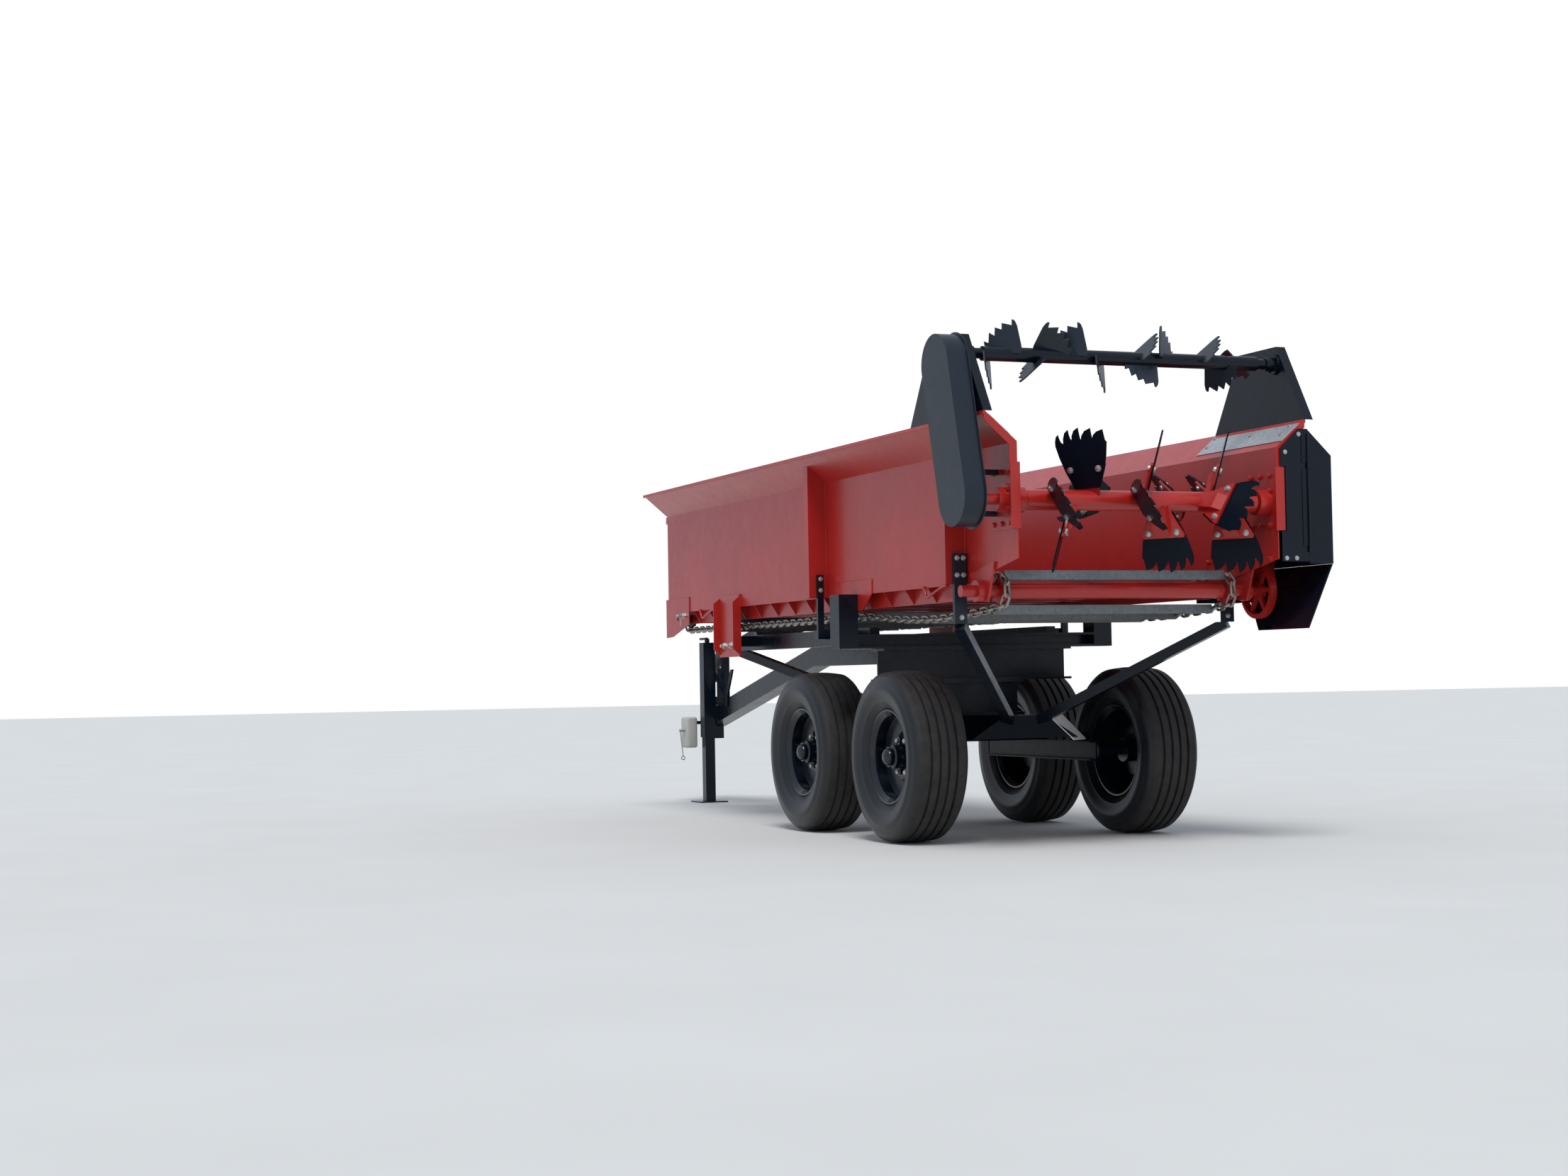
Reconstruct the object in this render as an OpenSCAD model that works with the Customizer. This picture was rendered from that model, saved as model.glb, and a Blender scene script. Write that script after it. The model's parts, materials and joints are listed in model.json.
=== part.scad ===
// Tandem-axle box manure spreader with two beaters at the rear.
// +X is the direction of travel, +Y the left side, Z = 0 the ground. All sizes are in millimetres.

/* [Wheels] */
// Outside diameter of the tyres
tyre_od = 780; // [720:10:820]
// Width of the tyres
tyre_w = 280; // [240:5:300]
// Diameter of the rim's flanges
rim_d = 430; // [400:5:460]
// Distance between the tyres' middles across the machine
track = 1170; // [1150:5:1260]
// Distance between the front and rear wheels of one side
wheelbase = 1040; // [960:10:1120]
// Place of the middle between the wheels along the machine
tandem_x = -960; // [-1015:5:-895]
// Diameter of the wheel spindles
spindle_d = 45; // [38:1:55]

/* [Box] */
// Width over the box's side walls
box_w = 1250; // [1200:10:1270]
// Thickness of the box's sheets
sheet_t = 5; // [4:0.5:6]
// Height of the side walls' lower edge
box_z = 1142; // [1130:1:1160]
// Height of the straight part of the side walls
wall_h = 562; // [520:5:620]
// How far the flared top reaches outwards
flare_out = 142; // [120:2:160]
// Height of the flared top
flare_h = 121; // [100:2:140]
// Front end of the box
box_front_x = 1745; // [1685:10:1805]
// Rear faces of the side posts, middle one first
post_xs = [-655, -2195];
// Width of a side post along the machine
post_w = 50; // [40:5:60]
// How far a side post stands out from the wall
post_d = 95; // [80:5:105]
// Rear end of the box
box_rear_x = -2685; // [-2725:5:-2645]
// Pitch of the floor's cross members
cross_pitch = 240; // [200:10:300]

/* [Apron] */
// Height of the chain shafts
shaft_z = 1105; // [1100:1:1112]
// Place of the rear chain shaft
rear_shaft_x = -2366; // [-2385:1:-2355]
// Distance of the front chain shaft from the box's front end
front_shaft_in = 180; // [150:5:210]
// Radius of the chain's middle line round a sprocket
chain_r = 65; // [62:1:68]
// Distance of the chains from the walls' inner faces
chain_inset = 70; // [62:1:90]
// Height of a chain link
link_h = 22; // [18:1:24]
// Side of the slats' angle section
slat_side = 40; // [34:1:42]
// Thickness of the slats' angle section
slat_t = 5; // [4:0.5:6]
// Pitch of the slats along the chains
slat_pitch = 305; // [260:5:400]

/* [Beaters] */
// Place of the lower beater along the machine
low_x = -2601; // [-2605:1:-2585]
// Height of the lower beater
low_z = 1473; // [1465:1:1500]
// Outside diameter of the lower beater's tube
low_d = 86; // [76:2:96]
// Reach of the lower beater's claws from its axis
low_reach = 311; // [290:1:318]
// Twist of the lower beater's claws round the line that points away from its axis
low_twist = 30; // [25:1:35]
// Lean of the lower beater's claws towards the box's sides
low_lean = 15; // [10:1:18]
// Place of the upper beater along the machine
up_x = -2471; // [-2485:1:-2455]
// Height of the upper beater
up_z = 2093; // [2080:1:2110]
// Outside diameter of the upper beater's tube
up_d = 62; // [54:2:70]
// Reach of the upper beater's blades from its axis
up_reach = 150; // [140:1:160]
// Diameter of the beater shafts
beater_shaft_d = 45; // [38:1:50]

/* [Drive] */
// Outer face of the chain guard on the left
guard_y = 880; // [870:5:895]
// Radius of the chain guard's round ends
guard_r = 125; // [115:1:130]
// How far the tower plates rise above the upper beater's axis
tower_over = 77; // [65:1:95]
// Length of the tower plates' foot along the machine
tower_l = 705; // [660:5:740]
// Length of the wear plates along the machine
wear_l = 690; // [640:10:760]
// Number of teeth of the apron gear
gear_teeth = 60; // [48:2:72]
// Outer face of the drive cover on the right
cover_y = 890; // [880:1:900]
// Front end of the drive cover
cover_front_x = -2005; // [-2055:10:-1955]
// Underside of the drive cover
cover_low_z = 930; // [920:5:950]
// Radius of the apron gear
gear_r = 125; // [115:1:130]
// Diameter of the side drive shaft's guard tube
drive_tube_d = 70; // [60:2:76]

/* [Chassis] */
// Height of the top of the bolster's upper beam
bolster_z = 955; // [945:1:965]
// Length of the bolster along the machine
bolster_l = 160; // [120:5:200]
// Heights of the bolster's three beams, upper one first
bolster_hs = [68, 157, 167];
// Half widths of the bolster's three beams
bolster_ys = [630, 500, 240];
// Width of a walking beam
beam_w = 60; // [50:5:64]
// Height of a walking beam
beam_h = 90; // [80:5:110]
// Distance of the walking beams from the middle
beam_y = 400; // [380:5:405]
// Side of the square strut tubes
strut_w = 45; // [40:1:50]
// Width of the drawbar beam
tongue_w = 100; // [80:5:120]
// Height of the drawbar beam
tongue_h = 110; // [90:5:120]
// Place where the drawbar beam bends down
tongue_bend_x = 945; // [905:10:965]
// Front end of the drawbar beam
tongue_front_x = 2665; // [2605:10:2705]
// Fall of the drawbar beam for each millimetre forwards
tongue_fall = 0.207; // [0.18:0.001:0.22]
// Middle of the hitch pin's hole along the machine
hitch_x = 2870; // [2860:1:2895]
// Diameter of the hitch pin's hole
hitch_d = 32; // [26:1:36]
// Side of the jack's outer tube
jack_w = 76; // [70:1:80]
// Place of the jack along the machine
jack_x = 2545; // [2505:5:2575]

/* [Hidden] */
$fn = 48;
front_shaft_x = box_front_x - front_shaft_in;
tower_top_z = up_z + tower_over;
axle_z = tyre_od / 2;
half_track = track / 2;
half_box = box_w / 2;
bend_z = box_z + wall_h;
flare_y = half_box + flare_out;
flare_z = bend_z + flare_h;
flare_l = sqrt(flare_out * flare_out + flare_h * flare_h);
flare_a = atan(flare_out / flare_h);
hem_h = 15;
hem_z = flare_z + sheet_t * flare_out / flare_l;
run_gap = 0.05;
slide_gap = 0.3;

// floor and apron
deck_z = shaft_z + chain_r - link_h / 2 - 8;
deck_rear_x = rear_shaft_x + chain_r + link_h / 2 + 12;
deck_front_x = front_shaft_x - chain_r - link_h / 2 - 12;
inner_y = half_box - sheet_t;
tray_y = inner_y - 45;
tray_z = shaft_z - 31;
apron_shaft_d = 50;
apron_tube_d = 66;
chain_y = inner_y - chain_inset;
chain_w = 26;

// rear end
low_edge_front = [box_rear_x + 457, box_z + 2];
low_edge_rear = [box_rear_x, box_z + 85];
flange_w = 30;
bearing_d = 100;
hub_d = 110;
hub_l = 60;
low_tube_y = inner_y - hub_l - 8;
tower_y = flare_y + 3;
tower_t = 6;
tower_rear_lean = 0.59;
tower_front_lean = 0.62;
bearing_plate_low = low_z - 124;
bearing_plate_top = low_z + 148;
up_tube_y = tower_y - 105;
guard_l = 95;
guard_in_y = guard_y - guard_l;
guard_low = [low_x, low_z + 10];
guard_up = [up_x + 12, up_z - 50];

// right cover, as distances from the middle
cover_x = box_rear_x - 6;
cover_t = 4;
seam_y = 770;
cover_mid_z = box_z + 65;
cover_in_y = half_box + sheet_t + 1;
hinge_x = cover_x - cover_t - 6.3;
hinge_zs = [cover_mid_z + 50, bend_z - 90];
gear_y = 705;
gear_t = 32;

// chassis
bolster_x = tandem_x - bolster_l / 2;
bolster_front_x = tandem_x + bolster_l / 2;
step_z = [bolster_z, bolster_z - bolster_hs[0], bolster_z - bolster_hs[0] - bolster_hs[1],
          bolster_z - bolster_hs[0] - bolster_hs[1] - bolster_hs[2]];
post_in_y = half_box + sheet_t;
post_out_y = post_in_y + 98;
ped_l = 1100;
ped_top_y = 105;
ped_low_y = 275;
ped_low_z = axle_z + 68;
axle_d = 76;
rail_y = 475;
rail_w = 50;
rail_h = 80;
rail_z = bolster_z - 45;
rail_front_x = 1005;
leg_x = 685;
leg_w = 92;
tongue_z = 875;
tongue_rear_x = bolster_front_x;
tongue_end_z = tongue_z - (tongue_front_x - tongue_bend_x) * tongue_fall;
hanger_x = post_xs[1];
hanger_t = 20;
hanger_w = 58;
hanger_low_z = 972;
jack_y = tongue_w / 2 + 18 + jack_w / 2;
jack_leg_w = jack_w - 14;
jack_low_z = 400;
jack_top_z = 985;
canister_x = tongue_front_x - 40;
canister_z = 335;
stand_x = 2440;
stand_l = 100;
stand_z = 955;
drive_y = 800;
drive_z = box_z + 108;
drive_front_x = box_front_x + 40;
case_l = 60;
case_r = 68;
case_z = 1040;

rust_red = [0.66, 0.12, 0.10];
black = [0.07, 0.07, 0.08];
slate = [0.27, 0.30, 0.33];
steel = [0.62, 0.63, 0.63];
tyre_black = [0.10, 0.10, 0.10];

// Extrudes a (y, z) outline along X.
module along_x(x0, x1) translate([x0, 0, 0]) rotate([90, 0, 90]) linear_extrude(x1 - x0) children();

// Extrudes an (x, z) outline along Y.
module along_y(y0, y1) translate([0, y1, 0]) rotate([90, 0, 0]) linear_extrude(y1 - y0) children();

// Draws its children on the left and, mirrored, on the right.
module both_sides() {
    children();
    mirror([0, 1, 0]) children();
}

// A box from one corner to the other.
module block(a, b) translate(a) cube(b - a);

// A round bar along Y.
module bar_y(x, z, y0, y1, d) translate([x, y0, z]) rotate([-90, 0, 0]) cylinder(d = d, h = y1 - y0);

// A round bar along X.
module bar_x(y, z, x0, x1, d) translate([x0, y, z]) rotate([0, 90, 0]) cylinder(d = d, h = x1 - x0);

// A square tube from point a to point b.
module strut(a, b, w) {
    v = b - a;
    l = norm(v);
    translate(a) rotate([0, acos(v[2] / l), atan2(v[1], v[0])])
        translate([-w / 2, -w / 2, 0]) cube([w, w, l]);
}

// Outline of a wall with its flared top, in (y, z), from height z0 up.
module wall_outline(z0) {
    in_z = bend_z + sheet_t * tan(flare_a / 2);
    top_in = [flare_y - sheet_t * flare_h / flare_l, hem_z];
    polygon([[half_box, z0], [half_box, bend_z], [flare_y, flare_z], [flare_y, hem_z], top_in,
             [inner_y, in_z], [inner_y, z0]]);
    translate([flare_y, hem_z - hem_h]) square([sheet_t, hem_h]);
}

module side_wall() along_x(post_xs[1], box_front_x) wall_outline(box_z);

module side_walls() color(rust_red) both_sides() side_wall();

// A channel post that ends against the flare's underside.
module side_post(x) {
    top_z = bend_z + post_d * flare_h / flare_out;
    out_y = half_box + post_d;
    difference() {
        along_x(x, x + post_w)
            polygon([[half_box, box_z], [out_y, box_z], [out_y, top_z], [half_box, bend_z]]);
        block([x + sheet_t, half_box - 1, box_z - 1], [x + post_w - sheet_t, out_y - sheet_t, flare_z]);
    }
}

module side_posts() color(rust_red) both_sides() for (x = post_xs) side_post(x);

module front_panel() {
    rib = 40;
    color(rust_red) {
        block([box_front_x - sheet_t, -inner_y, deck_z], [box_front_x, inner_y, bend_z]);
        block([box_front_x, -inner_y, bend_z - rib], [box_front_x + rib, inner_y, bend_z]);
        for (y = [-inner_y / 3, inner_y / 3])
            block([box_front_x, y - rib / 2, deck_z], [box_front_x + rib, y + rib / 2, bend_z - rib]);
    }
}

module floor() {
    color(rust_red) {
        block([deck_rear_x, -inner_y, deck_z - sheet_t], [deck_front_x, inner_y, deck_z]);
        both_sides() block([deck_rear_x, tray_y - sheet_t, tray_z], [deck_front_x, tray_y, deck_z - sheet_t]);
    }
}

// Channels across the floor, with a gusset outside the tray at each end.
module cross_members() {
    h = 40;
    w = 60;
    n = floor((deck_front_x - deck_rear_x - w) / cross_pitch);
    color(rust_red) for (i = [0:n]) {
        x = deck_rear_x + i * cross_pitch;
        block([x, -tray_y + sheet_t, deck_z - sheet_t - h], [x + w, tray_y - sheet_t, deck_z - sheet_t]);
        both_sides() along_x(x, x + sheet_t)
            polygon([[tray_y, deck_z - sheet_t], [inner_y, deck_z - sheet_t], [inner_y, box_z],
                     [tray_y, tray_z]]);
    }
}

// The box's last stretch behind the rear posts, with a slanting lower edge and a flange at its end.
module end_plate() {
    x1 = post_xs[1];
    difference() {
        union() {
            along_x(box_rear_x, x1) wall_outline(box_z);
            along_x(box_rear_x, box_rear_x + sheet_t) polygon([
                [half_box, bearing_plate_top], [half_box + flange_w, bearing_plate_top],
                [half_box + flange_w, bend_z - 12],
                [flare_y, flare_z - flange_w], [flare_y, flare_z], [half_box, bend_z]]);
        }
        along_y(0, half_box + 2 * flange_w)
            polygon([[box_rear_x - 1, box_z - 1], [low_edge_front[0], box_z - 1], low_edge_front,
                     low_edge_rear, [box_rear_x - 1, low_edge_rear[1]]]);
        bar_y(low_x, low_z, 0, flare_y, beater_shaft_d + 30);
    }
}

module end_plates() color(rust_red) both_sides() end_plate();

// Bolted plates that carry the lower beater's bearings.
module bearing_plates() {
    z0 = bearing_plate_low;
    z1 = bearing_plate_top;
    color(rust_red) both_sides() difference() {
        union() {
            block([box_rear_x, half_box, z0], [low_x + 136, half_box + 6, z1]);
            block([box_rear_x - 6, half_box - 14, z0], [box_rear_x, half_box + flange_w, z1]);
        }
        bar_y(low_x, low_z, half_box - 20, half_box + 20, beater_shaft_d + 30);
    }
}

// A flanged bearing round a shaft along Y, from y0 outwards.
module flanged_bearing(x, z, y0, d, l, shaft) {
    difference() {
        union() {
            bar_y(x, z, y0, y0 + l, d);
            bar_y(x, z, y0, y0 + 12, d + 30);
            for (a = [45:90:315])
                bar_y(x + cos(a) * (d / 2 + 4), z + sin(a) * (d / 2 + 4), y0 + 12, y0 + 20, 18);
        }
        bar_y(x, z, y0 - 1, y0 + l + 1, shaft + 2 * run_gap);
    }
}

module beater_bearings() color(rust_red) {
    both_sides() flanged_bearing(low_x, low_z, half_box + 6, bearing_d, 52, beater_shaft_d);
    both_sides() difference() {
        bar_y(low_x, low_z, inner_y - hub_l, inner_y, hub_d);
        bar_y(low_x, low_z, inner_y - hub_l - 1, inner_y + 1, beater_shaft_d + 2 * run_gap);
    }
}

// Plates on the flares' inner faces at the rear.
module wear_plates() {
    t = 3;
    n = [-flare_h, flare_out] / flare_l;
    a = [inner_y, bend_z + sheet_t * tan(flare_a / 2)];
    u = [flare_out, flare_h] / flare_l;
    lift = 0.1;
    p0 = a + u * 40 + n * lift;
    p1 = a + u * (flare_l - 26) + n * lift;
    cut = 3 * flare_out;
    color(steel) both_sides() difference() {
        along_x(box_rear_x + 2, box_rear_x + wear_l) polygon([p0, p1, p1 + n * t, p0 + n * t]);
        translate([box_rear_x + wear_l, flare_y, flare_z + hem_h])
            rotate([0, 0, 27]) translate([0, -cut, -cut]) cube([cut, 2 * cut, 2 * cut]);
    }
}

// Trapezium that carries an upper beater bearing.
module tower_plate() {
    x_rear_low = box_rear_x + 5;
    x_rear_top = x_rear_low + tower_rear_lean * (tower_top_z - hem_z);
    x_front_low = x_rear_low + tower_l;
    x_front_top = x_front_low - tower_front_lean * (tower_top_z - hem_z);
    polygon([[x_rear_low, hem_z], [x_front_low, hem_z], [x_front_top, tower_top_z],
             [x_rear_top, tower_top_z]]);
}

// Flange along the tower plate's rear edge.
module tower_flange(y0, y1) {
    x_rear_low = box_rear_x + 5;
    x_rear_top = x_rear_low + tower_rear_lean * (tower_top_z - hem_z);
    along_y(y0, y1) polygon([[x_rear_low - tower_t, hem_z], [x_rear_low, hem_z], [x_rear_top, tower_top_z],
                             [x_rear_top - tower_t, tower_top_z]]);
}

module towers() color(black) {
    both_sides() difference() {
        along_y(tower_y - tower_t, tower_y) tower_plate();
        bar_y(up_x, up_z, tower_y - 20, tower_y + 20, beater_shaft_d + 30);
    }
    tower_flange(tower_y - 40, tower_y);
    tower_flange(-tower_y - 40, -tower_y + tower_t);
}

// Bearings of the upper beater, on the inner faces of the tower plates.
module tower_bearings() color(black) both_sides() mirror([0, 1, 0])
    flanged_bearing(up_x, up_z, -tower_y + tower_t, 60, 55, beater_shaft_d);

// Obround outline round the two sprockets, in (x, z).
module guard_outline(r) {
    v = guard_up - guard_low;
    translate(guard_low) circle(r);
    translate(guard_up) circle(r);
    translate(guard_low) rotate(atan2(v[1], v[0])) translate([0, -r]) square([norm(v), 2 * r]);
}

// Guard with spacer bars to the bearing plate and to the tower plate.
module chain_guard() color(slate) {
    difference() {
        union() {
            along_y(guard_in_y, guard_y) guard_outline(guard_r);
            along_y(guard_in_y, guard_in_y + cover_t) guard_outline(guard_r + 10);
        }
        along_y(guard_in_y + cover_t, guard_y - cover_t) guard_outline(guard_r - cover_t);
        bar_y(low_x, low_z, guard_in_y - 1, guard_in_y + 10, beater_shaft_d + 30);
        bar_y(up_x, up_z, guard_in_y - 1, guard_in_y + 10, beater_shaft_d + 30);
    }
    for (p = [[96, -63], [66, 107]])
        bar_y(guard_low[0] + p[0], guard_low[1] + p[1], half_box + 6, guard_in_y, 24);
    for (p = [[74, 47], [64, -58]])
        bar_y(guard_up[0] + p[0], guard_up[1] + p[1], tower_y, guard_in_y, 24);
}

// Upper outline of the right cover, in (distance from the middle, z).
function cover_pts(inset) = [
    [seam_y, flare_z - 38 - inset],
    [cover_y - inset, bend_z - 31 - inset * 0.4],
    [cover_y - inset, cover_mid_z]];

// The fixed part of the right cover: rear sheet, roof, front sheet and the sloping lower sheet.
module drive_cover() {
    low_y = 762;
    low_slope = (cover_y - low_y) / (cover_mid_z - 1 - cover_low_z);
    in_y = cover_y - cover_t - slide_gap;
    roof_z = flare_z - 38;
    rear_pts = [[cover_in_y + 3, cover_mid_z + 9], [cover_in_y + 3, bend_z - 3], [cover_in_y + 96, roof_z],
                [seam_y - 1, roof_z], [seam_y - 1, cover_mid_z + 9]];
    front_pts = [[half_box, cover_low_z + 130], [half_box, bend_z], [cover_in_y + 96, roof_z],
                 [seam_y - 1, roof_z], [seam_y - 1, roof_z - cover_t - 2 * slide_gap],
                 [in_y, bend_z - 31 - cover_t * 0.4 - 2 * slide_gap], [in_y, cover_mid_z],
                 [low_y + 130 * low_slope - 3, cover_low_z + 130]];
    low_wall = [[cover_y - 6, cover_mid_z - 1], [cover_y, cover_mid_z - 1], [low_y, cover_low_z],
                [low_y - 6, cover_low_z]];
    cut_x = cover_front_x - 300;
    color(black) mirror([0, 1, 0]) {
        difference() {
            union() {
                along_x(cover_x - cover_t, cover_x) polygon(rear_pts);
                along_x(cover_x, cover_front_x) polygon([[cover_in_y + 96, roof_z - cover_t],
                    [cover_in_y + 96, roof_z], [seam_y - 1, roof_z], [seam_y - 1, roof_z - cover_t]]);
                along_x(cover_front_x - cover_t, cover_front_x) polygon(front_pts);
                along_x(cover_x, cover_front_x) polygon(low_wall);
            }
            along_y(0, cover_y + 1) polygon([[cut_x, cover_low_z - 1], [cut_x, cover_low_z],
                [cut_x + 150, cover_low_z + 130], [cover_front_x + 1, cover_low_z + 130],
                [cover_front_x + 1, cover_low_z - 1]]);
            block([box_rear_x - slide_gap, 0, bend_z - 13],
                  [box_rear_x + sheet_t + slide_gap, flare_y + slide_gap, flare_z]);
            block([cover_x - cover_t - 1, 0, bearing_plate_low - 3],
                  [cover_x + 1, half_box + flange_w + 3, bearing_plate_top + 3]);
        }
        for (z = hinge_zs) {
            translate([hinge_x, seam_y - 0.5, z + 26]) cylinder(d = 12, h = 25);
            block([cover_x - cover_t - 3, seam_y - 30, z + 26], [cover_x - cover_t, seam_y - 3, z + 51]);
        }
    }
}

// The hinged outer part of the right cover.
module cover_door() {
    outer = cover_pts(0);
    inner = cover_pts(cover_t);
    x0 = cover_x - cover_t;
    color(black) mirror([0, 1, 0]) {
        along_x(x0, cover_front_x) polygon([outer[0], outer[1], outer[2], inner[2], inner[1], inner[0]]);
        along_x(x0, x0 + cover_t) polygon([[seam_y, cover_mid_z], outer[0], outer[1], outer[2]]);
        for (z = hinge_zs) {
            translate([hinge_x, seam_y - 0.5, z]) cylinder(d = 12, h = 25);
            block([x0 - 3, seam_y + 1.5, z], [x0, seam_y + 30, z + 25]);
        }
    }
}

// Outline of a gear with straight-sided teeth.
module toothed(r, teeth) {
    p = 360 / teeth;
    h = 5;
    polygon([for (i = [0:teeth - 1]) each [for (q = [[0, 0], [0.3, 0], [0.45, 1], [0.85, 1]])
        (r - h * q[1]) * [cos((i + q[0]) * p), sin((i + q[0]) * p)]]]);
}

// Gear whose spokes taper from the hub towards the rim.
module spoked_gear(r, t, spokes) {
    rim = 20;
    difference() {
        union() {
            difference() {
                linear_extrude(t) toothed(r, gear_teeth);
                translate([0, 0, -1]) cylinder(r = r - rim, h = t + 2);
            }
            cylinder(d = 80, h = t);
            for (i = [0:spokes - 1])
                rotate(i * 360 / spokes) translate([0, 0, t / 4]) linear_extrude(t / 2)
                    polygon([[35, -13], [r - rim + 2, -7], [r - rim + 2, 7], [35, 13]]);
        }
        translate([0, 0, -1]) cylinder(d = apron_shaft_d, h = t + 2);
    }
}

module apron_gear() color(rust_red) translate([rear_shaft_x, -gear_y, shaft_z]) rotate([90, 0, 0])
    spoked_gear(gear_r, gear_t, 6);

// Gearbox behind the cover's door, with the apron's pinion and the input shaft.
module gearbox() {
    pin_r = gear_r / 4;
    c = (gear_r + pin_r + 0.5) * cos(45);
    x = rear_shaft_x + c;
    z = shaft_z + c;
    x1 = x + 190;
    y0 = gear_y + gear_t + 4;
    color(rust_red) mirror([0, 1, 0]) {
        block([x - 45, y0, z - 50], [x1, y0 + 110, drive_z + 80]);
        block([x1 - 65, half_box, drive_z - 60], [x1 - 10, y0, drive_z + 60]);
        bar_x(drive_y, drive_z, x1, cover_front_x - cover_t, 40);
        bar_x(drive_y, drive_z, x1, x1 + 25, 90);
        translate([x, gear_y + gear_t, z]) rotate([90, 0, 0]) linear_extrude(gear_t)
            rotate(6) toothed(pin_r, 15);
        bar_y(x, z, gear_y, y0, pin_r);
    }
}

// A sprocket with square teeth, on a shaft along Y.
module sprocket(x, y, bore) {
    teeth = 6;
    difference() {
        translate([x, y + 7, shaft_z]) rotate([90, 0, 0]) linear_extrude(14) {
            circle(r = chain_r - 12);
            for (i = [0:teeth - 1])
                rotate(i * 360 / teeth + 30) translate([chain_r - 20, -9]) square([24, 18]);
        }
        bar_y(x, shaft_z, y - 10, y + 10, bore);
    }
}

module apron_rear_shaft() color(rust_red) {
    bar_y(rear_shaft_x, shaft_z, -gear_y - gear_t - 8, 735, apron_shaft_d);
    difference() {
        bar_y(rear_shaft_x, shaft_z, -chain_y + 20, chain_y - 20, apron_tube_d);
        bar_y(rear_shaft_x, shaft_z, -chain_y, chain_y, apron_shaft_d);
    }
    both_sides() sprocket(rear_shaft_x, chain_y, apron_shaft_d);
}

module apron_front_shaft() color(black) {
    bar_y(front_shaft_x, shaft_z, -half_box, half_box, apron_shaft_d);
    both_sides() sprocket(front_shaft_x, chain_y, apron_shaft_d);
}

// Housings under the slanting edges of the end plates.
module apron_bearings() {
    t = 10;
    z_edge = low_edge_front[1] + (low_edge_rear[1] - low_edge_front[1])
        * (low_edge_front[0] - rear_shaft_x) / (low_edge_front[0] - low_edge_rear[0]);
    color(rust_red) both_sides() difference() {
        union() {
            bar_y(rear_shaft_x, shaft_z, half_box, half_box + 42, 92);
            along_y(half_box, half_box + t) polygon([
                [rear_shaft_x - 120, z_edge + 55], [rear_shaft_x + 110, z_edge + 14],
                [rear_shaft_x + 70, shaft_z - 40], [rear_shaft_x - 50, shaft_z - 46]]);
        }
        bar_y(rear_shaft_x, shaft_z, half_box - 1, half_box + 43, apron_shaft_d + 2 * run_gap);
    }
}

// Outline of the loop that a chain follows, in (x, z), with round ends of radius r.
module loop_outline(r) {
    translate([rear_shaft_x, shaft_z]) circle(r);
    translate([front_shaft_x, shaft_z]) circle(r);
    translate([rear_shaft_x, shaft_z - r]) square([front_shaft_x - rear_shaft_x, 2 * r]);
}

module apron_chains() color(steel) both_sides() difference() {
    along_y(chain_y - chain_w / 2, chain_y + chain_w / 2) difference() {
        loop_outline(chain_r + link_h / 2);
        loop_outline(chain_r - link_h / 2);
    }
    sprocket(rear_shaft_x, chain_y, 1);
    sprocket(front_shaft_x, chain_y, 1);
}

// Angle slats across the chains: the foot lies on the links' inner side of the loop.
module slat(x, up) {
    y = chain_y - chain_w / 2;
    z = up > 0 ? deck_z + 1 : 2 * shaft_z - deck_z - 1;
    translate([x, 0, z]) mirror([0, 0, up > 0 ? 0 : 1]) {
        block([0, -y, 0], [slat_side, y, slat_t]);
        block([0, -y, slat_t], [slat_t, y, slat_side]);
    }
}

module apron_slats() {
    n = floor((front_shaft_x - rear_shaft_x) / slat_pitch);
    color(steel) for (i = [0:n - 1]) {
        slat(rear_shaft_x - 20 + i * slat_pitch, 1);
        slat(rear_shaft_x + 90 + i * slat_pitch, -1);
    }
}

// Three beams stacked under the box, each narrower than the one above.
module bolster_beams() color(black) for (i = [0:2])
    block([bolster_x, -bolster_ys[i], step_z[i + 1]], [bolster_front_x, bolster_ys[i], step_z[i]]);

module bolster_posts() color(black) both_sides()
    block([bolster_x, post_in_y, step_z[1]], [bolster_x + 110, post_out_y, box_z + 2]);

// Plates on the walls' outer faces: behind the bolster's posts, and at the front corners for the chain shaft.
module side_plates() color(rust_red) both_sides() {
    x0 = front_shaft_x - 190;
    x1 = box_front_x + 25;
    along_y(half_box, half_box + sheet_t)
        polygon([[bolster_x - 160, box_z + 66], [bolster_x + 200, box_z + 66], [bolster_x + 200, box_z - 3],
                 [bolster_x + 100, box_z - 73], [bolster_x - 60, box_z - 73], [bolster_x - 160, box_z - 3]]);
    difference() {
        along_y(half_box, half_box + 6) polygon([[x1, shaft_z + 117], [x0, shaft_z + 117], [x0, shaft_z - 32],
            [x1 - 105, shaft_z - 100], [x1, shaft_z - 104]]);
        bar_y(front_shaft_x, shaft_z, half_box - 1, half_box + 7, apron_shaft_d / 2);
    }
}

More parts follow.
